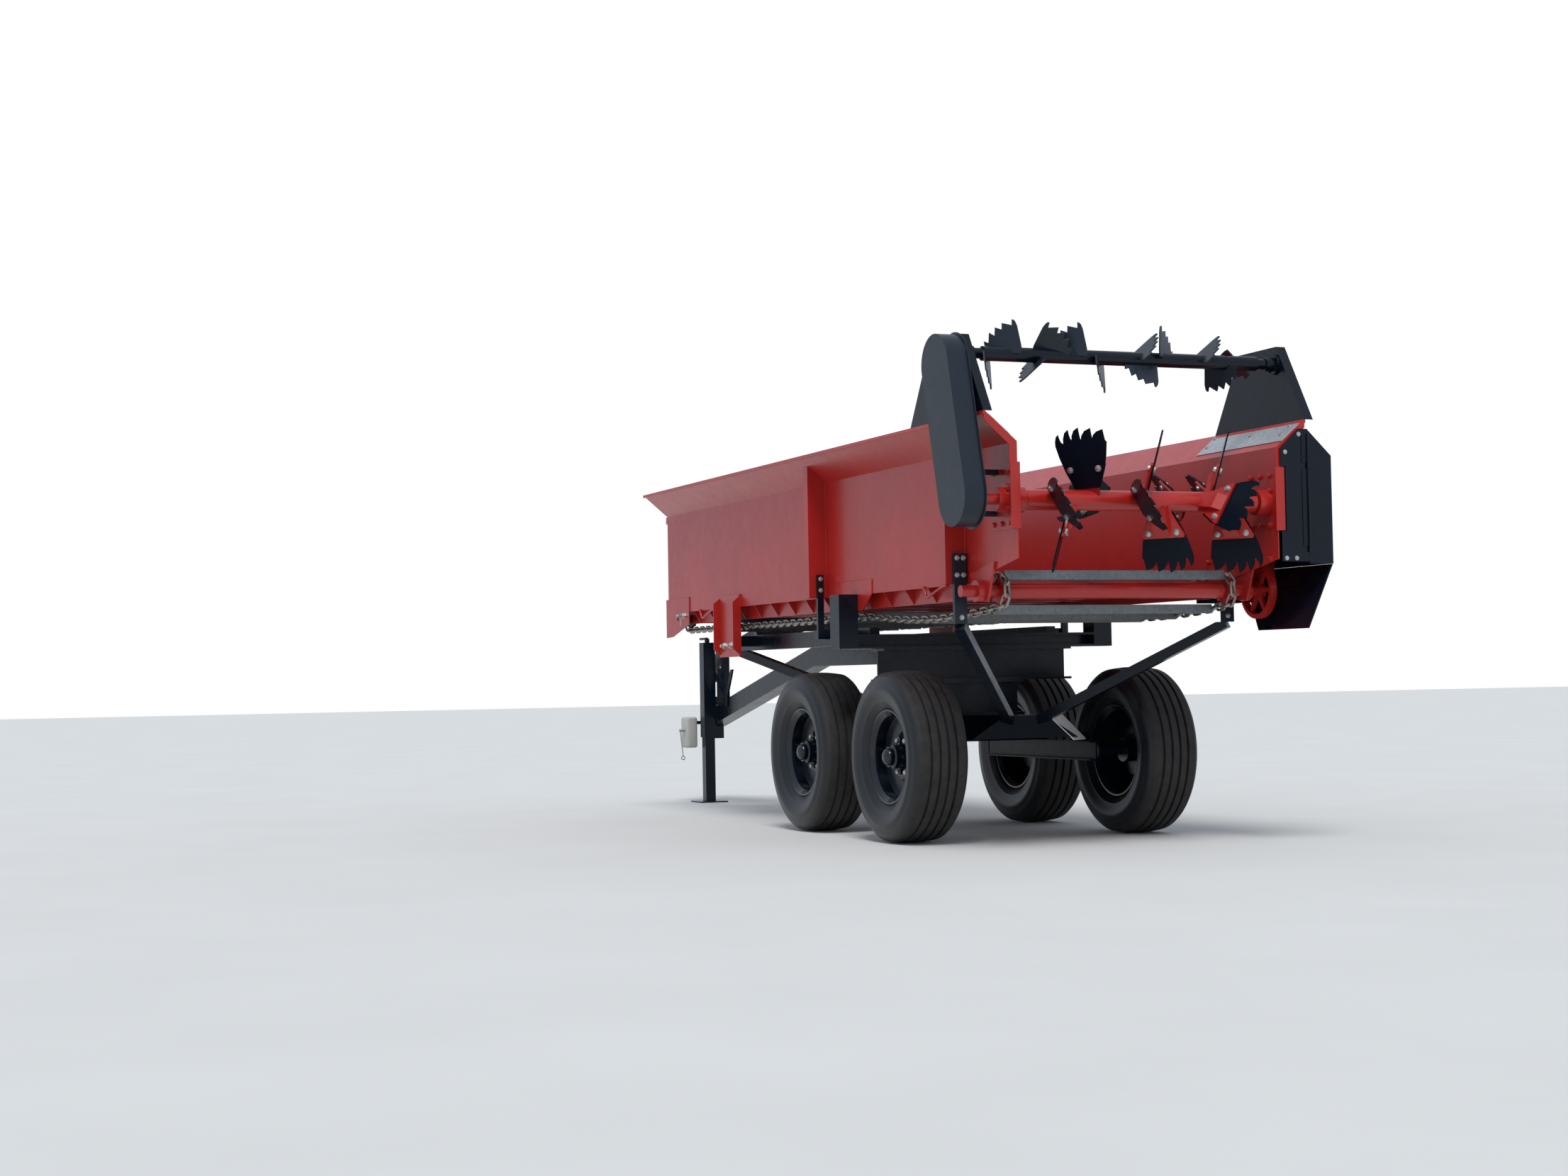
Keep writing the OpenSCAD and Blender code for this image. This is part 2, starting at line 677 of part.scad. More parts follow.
// Folded housing between the bolster and the main axle.
module pedestal() color(black) difference() {
    union() {
        difference() {
            along_x(tandem_x - ped_l / 2, tandem_x + ped_l / 2)
                polygon([[-ped_top_y, step_z[3]], [ped_top_y, step_z[3]], [ped_low_y, ped_low_z],
                         [-ped_low_y, ped_low_z]]);
            along_x(tandem_x - ped_l / 2 + 10, tandem_x + ped_l / 2 - 10)
                polygon([[-ped_top_y, step_z[3] - 10], [ped_top_y, step_z[3] - 10],
                         [ped_low_y - 12, ped_low_z - 1], [-ped_low_y + 12, ped_low_z - 1]]);
        }
        for (y = [-ped_low_y + 30, ped_low_y - 42])
            along_y(y, y + 12) polygon([[tandem_x - 130, ped_low_z + 14], [tandem_x + 130, ped_low_z + 14],
                [tandem_x + 60, axle_z - 30], [tandem_x - 60, axle_z - 30]]);
    }
    bar_y(tandem_x, axle_z, -ped_low_y - 1, ped_low_y + 1, axle_d);
}

// The axle between the walking beams, and the four wheel spindles.
module axles() color(black) {
    y = beam_y - beam_w / 2;
    bar_y(tandem_x, axle_z, -y, y, axle_d);
    both_sides() for (s = [-1, 1]) {
        x = tandem_x + s * wheelbase / 2;
        bar_y(x, axle_z, beam_y + beam_w / 2, half_track + 60, spindle_d);
        bar_y(x, axle_z, beam_y + beam_w / 2, beam_y + beam_w / 2 + 10, 2 * spindle_d);
    }
}

// Box-section beams that carry a front and a rear wheel each.
module walking_beams() color(black) both_sides()
    block([tandem_x - wheelbase / 2 - 45, beam_y - beam_w / 2, axle_z - beam_h / 2],
          [tandem_x + wheelbase / 2 + 45, beam_y + beam_w / 2, axle_z + beam_h / 2]);

// Side rails of the chassis in front of the bolster, with a notch for the leg beam.
module chassis_rails() color(black) both_sides() difference() {
    block([bolster_front_x, rail_y - rail_w / 2, rail_z],
          [rail_front_x, rail_y + rail_w / 2, rail_z + rail_h]);
    block([leg_x - 30, rail_y - rail_w, tongue_z + tongue_h / 2], [leg_x + 30, rail_y + rail_w, rail_z + 76]);
}

// Beam through the rails that carries the front legs, and the beam at the rails' front end.
module cross_beams() color(black) {
    z0 = tongue_z + tongue_h / 2;
    block([leg_x - 30, -half_box - sheet_t, z0], [leg_x + 30, half_box + sheet_t, rail_z + 76]);
    block([rail_front_x - 80, -rail_y + rail_w / 2, z0],
          [rail_front_x, rail_y - rail_w / 2, rail_z + rail_h]);
}

// Folded legs outside the box that stand on the leg beam's ends.
module front_legs() {
    low_z0 = tongue_z;
    y0 = half_box + sheet_t;
    d = 62;
    color(rust_red) both_sides() {
        translate([leg_x, 0, low_z0]) linear_extrude(box_z + 66 - low_z0) polygon([
            [-leg_w / 2 - 110, y0], [-leg_w / 2 - 110, y0 + 6], [-leg_w / 2, y0 + d], [leg_w / 2, y0 + d],
            [leg_w / 2 + 30, y0 + 6], [leg_w / 2 + 30, y0], [leg_w / 2 + 24, y0], [leg_w / 2 - 4, y0 + d - 6],
            [-leg_w / 2 + 3, y0 + d - 6], [-leg_w / 2 - 97, y0]]);
        block([leg_x - leg_w / 2 - 110, half_box, box_z], [leg_x + leg_w / 2 + 30, y0, box_z + 66]);
        block([leg_x - 30, y0, low_z0], [leg_x + 30, y0 + d - 6, low_z0 + 6]);
    }
}

// Straps that hang from the rear posts to the rear struts.
module hangers() color(black) both_sides()
    block([hanger_x - hanger_t, half_box + 6, hanger_low_z],
          [hanger_x, half_box + 6 + hanger_w, box_z + 130]);

module rear_strut_bar() {
    a = [hanger_x - hanger_t / 2 + 4, half_box + 6 + hanger_w / 2, hanger_low_z - 4];
    b = [tandem_x - ped_l / 2 + 10, ped_top_y - 26, step_z[3] - 20];
    difference() {
        strut(a, b, strut_w);
        block([hanger_x - hanger_t, half_box - 40, hanger_low_z], [hanger_x + 100, half_box + 100, box_z]);
        block([tandem_x - ped_l / 2, -ped_low_y, ped_low_z], [tandem_x, ped_low_y, step_z[3]]);
    }
}

module front_strut_bar() difference() {
    strut([rail_front_x - 40, rail_y, rail_z - 4],
          [tandem_x + ped_l / 2 - 10, ped_top_y - 26, step_z[3] - 20], strut_w);
    block([0, 0, rail_z], [rail_front_x, rail_y + 100, rail_z + 200]);
    block([tandem_x, -ped_low_y, ped_low_z], [tandem_x + ped_l / 2, ped_low_y, step_z[3]]);
}

// Square tubes from the pedestal up to the rear hangers and to the rails' front ends.
module struts() color(black) both_sides() {
    rear_strut_bar();
    front_strut_bar();
}

module tongue() {
    h = tongue_h / 2;
    color(black) along_y(-tongue_w / 2, tongue_w / 2) polygon([
        [tongue_rear_x, tongue_z - h], [tongue_bend_x, tongue_z - h], [tongue_front_x, tongue_end_z - h],
        [tongue_front_x, tongue_end_z + h], [tongue_bend_x, tongue_z + h], [tongue_rear_x, tongue_z + h]]);
}

// Plate with three heights of bolt holes and the drawbar clevis.
module hitch() {
    x0 = tongue_front_x;
    w = 34;
    z1 = tongue_end_z - 20;
    color(black) difference() {
        union() {
            block([x0, -40, tongue_end_z - 130], [x0 + 12, 40, tongue_end_z + 130]);
            block([x0 + 12, -40, tongue_end_z - 130], [x0 + 62, -28, tongue_end_z + 130]);
            block([x0 + 12, 28, tongue_end_z - 130], [x0 + 62, 40, tongue_end_z + 130]);
            for (z = [z1 - w - 20, z1 + w]) block([x0 + 20, -28, z], [hitch_x, 28, z + 20]);
            for (z = [z1 - w - 20, z1 + w]) translate([hitch_x, 0, z]) cylinder(d = 56, h = 20);
            block([x0 + 20, -28, z1 - w], [x0 + 60, 28, z1 + w]);
        }
        translate([hitch_x, 0, z1 - 100]) cylinder(d = hitch_d, h = 200);
    }
}

module jack_tube() color(black) {
    bore = jack_leg_w + 2 * slide_gap;
    difference() {
        block([jack_x - jack_w / 2, jack_y - jack_w / 2, jack_low_z],
              [jack_x + jack_w / 2, jack_y + jack_w / 2, jack_top_z]);
        block([jack_x - bore / 2, jack_y - bore / 2, jack_low_z - 1],
              [jack_x + bore / 2, jack_y + bore / 2, jack_top_z - 30]);
    }
    block([jack_x - 60, tongue_w / 2, tongue_end_z - 35],
          [jack_x + 60, jack_y - jack_w / 2, tongue_end_z + 75]);
    translate([jack_x, jack_y, jack_top_z]) cylinder(d = 30, h = 25);
    translate([jack_x, jack_y, jack_top_z + 25]) rotate([0, 90, 0]) cylinder(d = 16, h = 120);
}

// Rounded box for papers beside the jack.
module canister() {
    y0 = jack_y + jack_w / 2;
    l = 110;
    w = 80;
    r = 18;
    color([0.8, 0.8, 0.78]) translate([canister_x, y0, canister_z]) linear_extrude(190)
        polygon([[r, 0], [l - r, 0], [l, r], [l, w - r], [l - r, w], [r, w], [0, w - r], [0, r]]);
}

module jack_leg() color(black) {
    foot = 180;
    block([jack_x - jack_leg_w / 2, jack_y - jack_leg_w / 2, 8],
          [jack_x + jack_leg_w / 2, jack_y + jack_leg_w / 2, jack_low_z + 240]);
    block([jack_x - foot / 2, jack_y - foot / 2, 0], [jack_x + foot / 2, jack_y + foot / 2, 8]);
}

// Guarded drive shaft along the right side, on brackets at the posts.
module side_drive() color(black) mirror([0, 1, 0]) {
    bar_x(drive_y, drive_z, cover_front_x, drive_front_x, drive_tube_d);
    for (x = [post_xs[0], front_shaft_x - 300])
        difference() {
            along_x(x + 10, x + 22) polygon([[half_box + (x < 0 ? post_d : 0), drive_z - 60],
                [drive_y + 10, drive_z - 50], [drive_y + 50, drive_z - 20], [drive_y + 50, drive_z + 20],
                [drive_y + 10, drive_z + 50], [half_box + (x < 0 ? post_d : 0), drive_z + 60]]);
            bar_x(drive_y, drive_z, x, x + 40, drive_tube_d);
        }
}

// A guarded universal-joint shaft from point a to point b: wide at its ends, thin in its sliding half.
module joint_shaft(a, b) {
    v = b - a;
    l = norm(v);
    translate(a) rotate([0, acos(v[2] / l), atan2(v[1], v[0])]) rotate_extrude() polygon([
        [0, 0], [58, 0], [60, 15], [34, 95], [34, l * 0.55], [29, l * 0.55 + 6], [29, l - 90], [54, l - 10],
        [52, l], [0, l]]);
}

// Shafts from the front case to the stand and from the stand forwards, laid on the hitch's rest.
module pto_shaft() color(black) {
    x0 = drive_front_x + case_l;
    x1 = stand_x - stand_l / 2;
    x2 = stand_x + stand_l / 2;
    bar_x(0, case_z, x0, x0 + 40, 50);
    joint_shaft([x0 + 25, 0, case_z], [x1 - 25, 0, stand_z]);
    bar_x(0, stand_z, x1 - 40, x1, 50);
    bar_x(0, stand_z, x2, x2 + 40, 50);
    joint_shaft([x2 + 30, 0, stand_z], [hitch_x + 5, -30, stand_z - 180]);
}

// Case across the box's front, between the side drive and the joint shaft in the middle.
module front_case() color(black) along_x(drive_front_x, drive_front_x + case_l) {
    v = [drive_y, drive_z - case_z];
    translate([-drive_y, drive_z]) circle(case_r);
    translate([0, case_z]) circle(case_r);
    translate([0, case_z]) rotate(180 - atan2(v[1], v[0]))
        translate([0, -case_r]) square([norm(v), 2 * case_r]);
}

// Stand on the drawbar with the bearing between the joint shafts, the open V of the hose holder, the rest
// on the hitch plate and the canister's bracket.
module shaft_stand() color(black) {
    fall = tongue_fall;
    z0 = tongue_z + tongue_h / 2 - (stand_x - tongue_bend_x) * fall;
    y0 = tongue_w / 2;
    vx = stand_x - 85;
    vz = z0 + 30;
    lift = 0.2;
    along_y(y0 - 40, y0 - 5) polygon([
        [stand_x - 30, z0 + 30 * fall + lift], [stand_x + 30, z0 - 30 * fall + lift],
        [stand_x + 30, stand_z - 30], [stand_x - 30, stand_z - 30]]);
    along_y(-y0 + 10, y0 - 5) polygon([
        [stand_x - 50, z0 + 50 * fall + lift], [stand_x + 50, z0 - 50 * fall + lift],
        [stand_x + 50, z0 - 50 * fall + 12], [stand_x - 50, z0 + 50 * fall + 12]]);
    bar_x(0, stand_z, stand_x - stand_l / 2, stand_x + stand_l / 2, 90);
    along_y(y0, y0 + 10) polygon([
        [vx - 30, vz - 60], [vx - 30, vz], [vx - 130, vz + 165], [vx - 95, vz + 165], [vx, vz + 25],
        [vx + 215, vz + 165], [vx + 250, vz + 165], [vx + 30, vz], [vx + 30, vz - 60]]);
    block([tongue_front_x, -28, tongue_end_z + 130], [tongue_front_x + 10, 0, stand_z - 126]);
    block([canister_x + 15, y0, canister_z + 145], [canister_x + 35, jack_y + jack_w / 2, canister_z + 165]);
}

// A wheel's rim, disc and hub, with its outer face towards +Y.
module wheel(x, side) {
    w = tyre_w * 0.72;
    t = 8;
    seat = rim_d / 2 - 20;
    hub = 55;
    color(black) translate([x, side * half_track, axle_z]) rotate([side > 0 ? -90 : 90, 0, 0]) {
        rotate_extrude() polygon([
            [rim_d / 2, -w / 2], [rim_d / 2, -w / 2 + t], [seat, -w / 2 + t + 14], [seat, w / 2 - t - 14],
            [rim_d / 2, w / 2 - t], [rim_d / 2, w / 2], [rim_d / 2 - t, w / 2], [seat - t, w / 2 - t - 12],
            [seat - t, 30], [120, 10], [hub, 18], [hub, 80], [30, 96], [spindle_d / 2 + run_gap, 96],
            [spindle_d / 2 + run_gap, -60], [hub, -60], [hub, 4], [118, 0], [seat - t, 18],
            [seat - t, -w / 2 + t + 12], [rim_d / 2 - t, -w / 2]]);
        translate([0, 0, 96]) cylinder(d1 = 62, d2 = 44, h = 14);
        for (i = [0:5]) rotate(i * 60) translate([82, 0, 10]) cylinder(d = 24, h = 16);
    }
}

// A tyre with rounded shoulders, bead to bead.
module tyre(x, side) {
    r = tyre_od / 2;
    h = tyre_w / 2;
    s = rim_d / 2;
    bead = tyre_w * 0.36 - 8;
    color(tyre_black) translate([x, side * half_track, axle_z]) rotate([side > 0 ? -90 : 90, 0, 0])
        rotate_extrude() polygon([
            [s + 0.3, -bead - 8], [s + 30, -h * 0.88], [s + 75, -h], [r - 70, -h * 0.97], [r - 22, -h * 0.86],
            [r - 6, -h * 0.68], [r, -h * 0.4], [r, h * 0.4], [r - 6, h * 0.68], [r - 22, h * 0.86],
            [r - 70, h * 0.97], [s + 75, h], [s + 30, h * 0.88], [s + 0.3, bead + 8]]);
}

module wheel_rear_left() wheel(tandem_x - wheelbase / 2, 1);
module tyre_rear_left() tyre(tandem_x - wheelbase / 2, 1);
module wheel_front_left() wheel(tandem_x + wheelbase / 2, 1);
module tyre_front_left() tyre(tandem_x + wheelbase / 2, 1);
module wheel_rear_right() wheel(tandem_x - wheelbase / 2, -1);
module tyre_rear_right() tyre(tandem_x - wheelbase / 2, -1);
module wheel_front_right() wheel(tandem_x + wheelbase / 2, -1);
module tyre_front_right() tyre(tandem_x + wheelbase / 2, -1);

// Columns: place across the machine, angle round the axis with 0 up and 90 to the rear.
CLAWS = [[420, 90], [330, 180], [240, 0], [130, 270], [30, 90], [-20, 0], [-90, 180], [-200, 270], [-290, 90],
         [-340, 0], [-380, 270], [-430, 180]];

// Columns: place across the machine, angle as for the claws, and twist round the line away from the axis.
BLADES = [[645, 170, 35], [570, 5, 50], [510, 215, -140], [340, 30, -110], [260, 5, 50], [110, 170, 40],
          [-90, 35, -150], [-80, 150, -90], [-220, 355, 50], [-400, 35, -150], [-500, 205, 30],
          [-590, 265, 45]];

// Columns: where a claw tooth's tip and the valley behind it lie across the plate, each with its distance
// from the axis.
TEETH = [[-100, 277, -118, 232], [-51, 294, -80, 236], [-3, 300, -39, 247], [53, 294, 4, 245],
         [108, 285, 57, 249]];

// Places a piece that points up at a beater's axis: turned to its angle, twisted and leaned by its side.
module on_beater(x, z, p, twist, lean) translate([x, p[0], z]) rotate([0, -p[1], 0])
    mirror([0, p[0] > 0 ? 0 : 1, 0]) rotate([0, 0, twist]) rotate([-lean, 0, 0]) children();

// Outline of a claw plate with five hooked teeth that lean forwards, in (across, out).
module claw_outline() {
    drawn_reach = 300;
    n = len(TEETH);
    last = [119, 233];
    polygon(low_reach / drawn_reach * [[-58, 50], [-88, 120], [-107, 180], for (i = [0:n - 1]) each let (
            t = TEETH[i], v = i < n - 1 ? [TEETH[i + 1][2], TEETH[i + 1][3]] : last,
            dx = t[0] - t[2], h = t[1] - t[3], w = v[0] - t[0])
            [[t[2], t[3]], [t[2] + dx * 0.12, t[3] + h * 0.42], [t[2] + dx * 0.45, t[3] + h * 0.8],
             [t[0], t[1]], [t[0] + w * 0.1, t[1] - h * 0.3], [t[0] + w * 0.4, v[1] + h * 0.22]],
        last, [108, 180], [90, 120], [58, 50]]);
}

module lower_claws() color(black) for (p = CLAWS) on_beater(low_x, low_z, p, low_twist, low_lean)
    translate([0, 6.1, 0]) rotate([90, 0, 0]) linear_extrude(6) mirror([1, 0]) claw_outline();

// Bracket behind a claw plate: a trapezium with a raised web down its middle.
module claw_bracket() {
    rotate([90, 0, 0]) linear_extrude(10)
        polygon([[-44, 10], [44, 10], [48, 46], [98, 146], [96, 158], [-96, 158], [-98, 146], [-48, 46]]);
    translate([-35, 0, 0]) along_x(0, 70) polygon([[-9, 20], [-9, 152], [-32, 112], [-32, 20]]);
}

module lower_beater() color(rust_red) {
    difference() {
        union() {
            bar_y(low_x, low_z, -low_tube_y, low_tube_y, low_d);
            for (p = CLAWS) on_beater(low_x, low_z, p, low_twist, low_lean) claw_bracket();
        }
        bar_y(low_x, low_z, -half_box, half_box, beater_shaft_d);
    }
    bar_y(low_x, low_z, -740, guard_in_y + 60, beater_shaft_d);
    bar_y(low_x, low_z, guard_in_y + 30, guard_in_y + 50, 160);
}

// Outline of a stepped blade with a hooked tall end, in (across, out).
module blade_outline() {
    drawn_reach = 150;
    polygon(up_reach / drawn_reach * [
        [84, 4], [82, 33], [76, 59], [69, 88], [62, 118], [53, 137], [46, 144], [38, 145], [39, 121],
        [-4, 130], [-4, 103], [-33, 112], [-34, 77], [-58, 90], [-59, 47], [-80, 54], [-72, 20], [-66, 4]]);
}

module upper_blades() color(slate) difference() {
    for (p = BLADES) on_beater(up_x, up_z, p, p[2], 0) translate([0, 3, 0]) rotate([90, 0, 0])
        linear_extrude(6) mirror([1, 0]) blade_outline();
    bar_y(up_x, up_z, -tower_y, tower_y, up_d + 0.2);
}

module upper_beater() color(black) {
    difference() {
        bar_y(up_x, up_z, -up_tube_y, up_tube_y, up_d);
        bar_y(up_x, up_z, -tower_y, tower_y, beater_shaft_d);
    }
    bar_y(up_x, up_z, -tower_y, guard_in_y + 60, beater_shaft_d);
    bar_y(up_x, up_z, guard_in_y + 30, guard_in_y + 50, 110);
}

side_walls();
side_posts();
front_panel();
floor();
cross_members();
end_plates();
bearing_plates();
beater_bearings();
wear_plates();
towers();
tower_bearings();
chain_guard();
drive_cover();
cover_door();
gearbox();
front_case();
apron_gear();
apron_rear_shaft();
apron_front_shaft();
apron_bearings();
apron_chains();
apron_slats();
bolster_beams();
bolster_posts();
side_plates();
pedestal();
axles();
walking_beams();
chassis_rails();
cross_beams();
front_legs();
hangers();
struts();
tongue();
hitch();
jack_tube();
jack_leg();
shaft_stand();
canister();
side_drive();
pto_shaft();
wheel_rear_left();
tyre_rear_left();
wheel_front_left();
tyre_front_left();
wheel_rear_right();
tyre_rear_right();
wheel_front_right();
tyre_front_right();
lower_beater();
lower_claws();
upper_beater();
upper_blades();
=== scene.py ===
"""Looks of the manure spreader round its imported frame: finishes, tyres, chains, blades, beams, bolts and trim."""

import json
import math

import bmesh
import bpy
import numpy as np
from bpy.props import FloatProperty, IntProperty, PointerProperty, StringProperty
from mathutils import Matrix, Vector


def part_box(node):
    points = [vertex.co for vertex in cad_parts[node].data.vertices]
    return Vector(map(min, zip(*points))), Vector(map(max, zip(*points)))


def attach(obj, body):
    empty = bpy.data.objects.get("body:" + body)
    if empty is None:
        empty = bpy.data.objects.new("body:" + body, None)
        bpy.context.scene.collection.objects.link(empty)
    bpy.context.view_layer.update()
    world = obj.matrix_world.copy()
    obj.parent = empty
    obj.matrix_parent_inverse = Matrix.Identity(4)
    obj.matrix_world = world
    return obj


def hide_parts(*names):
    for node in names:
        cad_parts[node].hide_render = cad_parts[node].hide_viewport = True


bl_info = {
    "name": "Manure Spreader Dresser",
    "version": (1, 0, 0),
    "blender": (4, 5, 0),
    "location": "3D View > Sidebar > Spreader",
    "description": "Finishes, tyres, chains and fasteners for a trailed manure spreader",
    "category": "Object",
}

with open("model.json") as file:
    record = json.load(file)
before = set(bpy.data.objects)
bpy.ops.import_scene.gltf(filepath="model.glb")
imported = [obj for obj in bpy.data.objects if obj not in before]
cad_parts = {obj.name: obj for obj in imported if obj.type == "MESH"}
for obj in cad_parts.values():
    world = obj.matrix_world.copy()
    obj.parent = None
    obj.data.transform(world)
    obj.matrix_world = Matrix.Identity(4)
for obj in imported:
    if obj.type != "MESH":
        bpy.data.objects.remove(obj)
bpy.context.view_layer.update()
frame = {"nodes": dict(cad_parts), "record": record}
WHEELS = ("rear_left", "rear_right", "front_left", "front_right")
# Places and sizes that the solids have too, in metres: the outer and inner faces and the foot of the box's walls,
# the depth of a wall's post and of the strap behind it, the ends and the outer face of a front leg's web, and the
# thickness of the plates bolted to the walls.
WALL_OUT, WALL_IN, WALL_FOOT = 0.625, 0.62, 1.143
POST_DEPTH, STRAP_DEPTH = 0.05, 0.02
LEG_REAR, LEG_FRONT, LEG_FACE = 0.549, 0.856, 0.637
PLATE = 0.006
# How deep the underside of a head sits in what it holds, so that no gap shows.
SUNK = 0.0002


def middle(node):
    """The middle of a node's box, as an array."""
    low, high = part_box(node)
    return (np.array(low) + np.array(high)) / 2


def linear(text):
    """An sRGB hex colour as linear RGBA."""
    values = [int(text[i : i + 2], 16) / 255 for i in (1, 3, 5)]
    return [v / 12.92 if v <= 0.04045 else ((v + 0.055) / 1.055) ** 2.4 for v in values] + [1.0]


def scaled(colour, share):
    """A linear RGBA colour made darker or lighter, each channel times a share."""
    return [min(1.0, v * share) for v in colour[:3]] + [1.0]


class SpreaderLook(bpy.types.PropertyGroup):
    """Sizes and colours that someone would change on the dressed spreader."""

    red: StringProperty(name="Red enamel", description="Colour of the box and lower beater", default="#B01F18")
    # The black's blue tint is a painted reflection of the sky on near-black enamel.
    black: StringProperty(name="Black enamel", description="Colour of the chassis and towers", default="#07121F")
    slate: StringProperty(name="Slate enamel", description="Colour of the chain guard", default="#1C2632")
    zinc: StringProperty(name="Zinc plate", description="Colour of the fasteners", default="#CFCFCC")
    galvanised: StringProperty(name="Hot-dip zinc", description="Colour of the slats", default="#7C8284")
    # The wear plates' zinc is lighter than the slats' as a painted reflection of the sky at a grazing angle.
    sheet: StringProperty(name="Galvanised with painted sheen", description="Colour of the wear plates", default="#C6CACD")
    # The rubber's blue tint is a painted reflection of the sky on black rubber.
    rubber: StringProperty(name="Tyre rubber", description="Colour of the tyres", default="#0A0F16")
    link_pitch: FloatProperty(
        name="Link pitch", description="Pitch of the apron chains' links", default=0.05, unit="LENGTH"
    )
    link_wire: FloatProperty(
        name="Link wire", description="Wire diameter of the chain links", default=0.0125, unit="LENGTH"
    )
    grooves: IntProperty(name="Tread grooves", description="Grooves round each tyre", default=4, min=2, max=6)
    groove_depth: FloatProperty(
        name="Groove depth", description="Depth of the tread grooves", default=0.011, unit="LENGTH"
    )
    bolt: FloatProperty(
        name="Bolt size", description="Width across the flats of a usual bolt head", default=0.019, unit="LENGTH"
    )
    sag: FloatProperty(
        name="Chain sag",
        description="How far the return run hangs behind the bolster",
        default=0.032,
        unit="LENGTH",
    )


# Materials


def put(tree, kind, wires=None, **settings):
    """Adds a shader node to a tree, with its settings, and its inputs by name or number: a value, a socket to
    link, or a node whose first output is linked."""
    made = tree.nodes.new("ShaderNode" + kind)
    for key, value in settings.items():
        setattr(made, key, value)
    for key, value in (wires or {}).items():
        if isinstance(value, bpy.types.Node):
            value = value.outputs[0]
        if isinstance(value, bpy.types.NodeSocket):
            tree.links.new(value, made.inputs[key])
        else:
            made.inputs[key].default_value = value
    return made


def blank(name):
    """A new material with its shader, its tree and its Object coordinates."""
    material = bpy.data.materials.new(name)
    material.use_nodes = True
    tree = material.node_tree
    return material, tree, tree.nodes["Principled BSDF"], put(tree, "TexCoord").outputs["Object"]


def lead(tree, shader, colour, gloss, bump):
    """Leads a mixed colour, a roughness and a bump into the shader."""
    tree.links.new(colour.outputs[2], shader.inputs["Base Color"])
    tree.links.new(gloss.outputs[0], shader.inputs["Roughness"])
    tree.links.new(bump.outputs[0], shader.inputs["Normal"])


def enamel(name, colour, rough, shade, dust, mirror=0.5):
    """Air-dried enamel sprayed on steel: an even colour with a soft gloss, a fine orange peel,
    faint runs of tone over a hand's width, and a little dust that settles on what faces up."""
    material, tree, shader, place = blank(name)
    tone = put(tree, "TexNoise", {"Vector": place, "Scale": 1 / 0.35, "Detail": 3.0, "Roughness": 0.55})
    ramp = put(tree, "MapRange", {"Value": tone, 1: 0.35, 2: 0.65})
    base = linear(colour)
    body = put(tree, "Mix", {0: ramp, 6: scaled(base, shade), 7: base}, data_type="RGBA")
    grime = put(tree, "TexNoise", {"Vector": place, "Scale": 1 / 0.06, "Detail": 6.0, "Roughness": 0.7})
    facing = put(tree, "SeparateXYZ", {0: put(tree, "NewGeometry").outputs["Normal"]})
    upward = put(tree, "MapRange", {"Value": facing.outputs["Z"], 1: 0.2, 3: 0.05})
    spots = put(tree, "MapRange", {"Value": grime, 1: 0.45, 2: 0.75, 4: dust})
    share = put(tree, "Math", {0: upward, 1: spots}, operation="MULTIPLY")
    dusty = put(tree, "Mix", {0: share, 6: body.outputs[2], 7: linear("#6E665C")}, data_type="RGBA")
    gloss = put(tree, "MapRange", {"Value": grime, 1: 0.3, 2: 0.8, 3: rough - 0.04, 4: rough + 0.1})
    peel = put(tree, "TexNoise", {"Vector": place, "Scale": 1 / 0.012, "Detail": 2.0})
    bump = put(tree, "Bump", {"Height": peel, "Strength": 0.05, "Distance": 0.002})
    lead(tree, shader, dusty, gloss, bump)
    shader.inputs["Specular IOR Level"].default_value = mirror
    shader.inputs["Coat Weight"].default_value = mirror / 2
    shader.inputs["Coat Roughness"].default_value = 0.18
    return material


def dipped_zinc(name, colour):
    """Hot-dip galvanised steel: dull metal whose crystals, about 12 mm across, each have their own grey."""
    material, tree, shader, place = blank(name)
    cells = put(tree, "TexVoronoi", {"Vector": place, "Scale": 1 / 0.012})
    grey = put(tree, "SeparateColor", {0: cells.outputs["Color"]})
    base = linear(colour)
    mixed = put(tree, "Mix", {0: grey, 6: scaled(base, 0.86), 7: scaled(base, 1.08)}, data_type="RGBA")
    gloss = put(tree, "MapRange", {"Value": grey.outputs[1], 3: 0.42, 4: 0.58})
    drawn = put(tree, "Mapping", {0: place, 3: (1 / 0.02, 1 / 0.3, 1 / 0.02)})
    streak = put(tree, "TexNoise", {"Vector": drawn, "Detail": 3.0})
    bump = put(tree, "Bump", {"Height": streak, "Strength": 0.12, "Distance": 0.002})
    lead(tree, shader, mixed, gloss, bump)
    shader.inputs["Metallic"].default_value = 0.85
    return material


def plated_zinc(name, colour, rough=0.34):
    """Zinc-plated fasteners and links: bright metal with faint clouds where the plate has dulled."""
    material, tree, shader, place = blank(name)
    clouds = put(tree, "TexNoise", {"Vector": place, "Scale": 1 / 0.02, "Detail": 4.0})
    base = linear(colour)
    mixed = put(tree, "Mix", {0: clouds, 6: scaled(base, 0.7), 7: base}, data_type="RGBA")
    gloss = put(tree, "MapRange", {"Value": clouds, 3: rough, 4: rough + 0.2})
    bump = put(tree, "Bump", {"Height": clouds, "Strength": 0.05, "Distance": 0.001})
    lead(tree, shader, mixed, gloss, bump)
    shader.inputs["Metallic"].default_value = 0.95
    return material


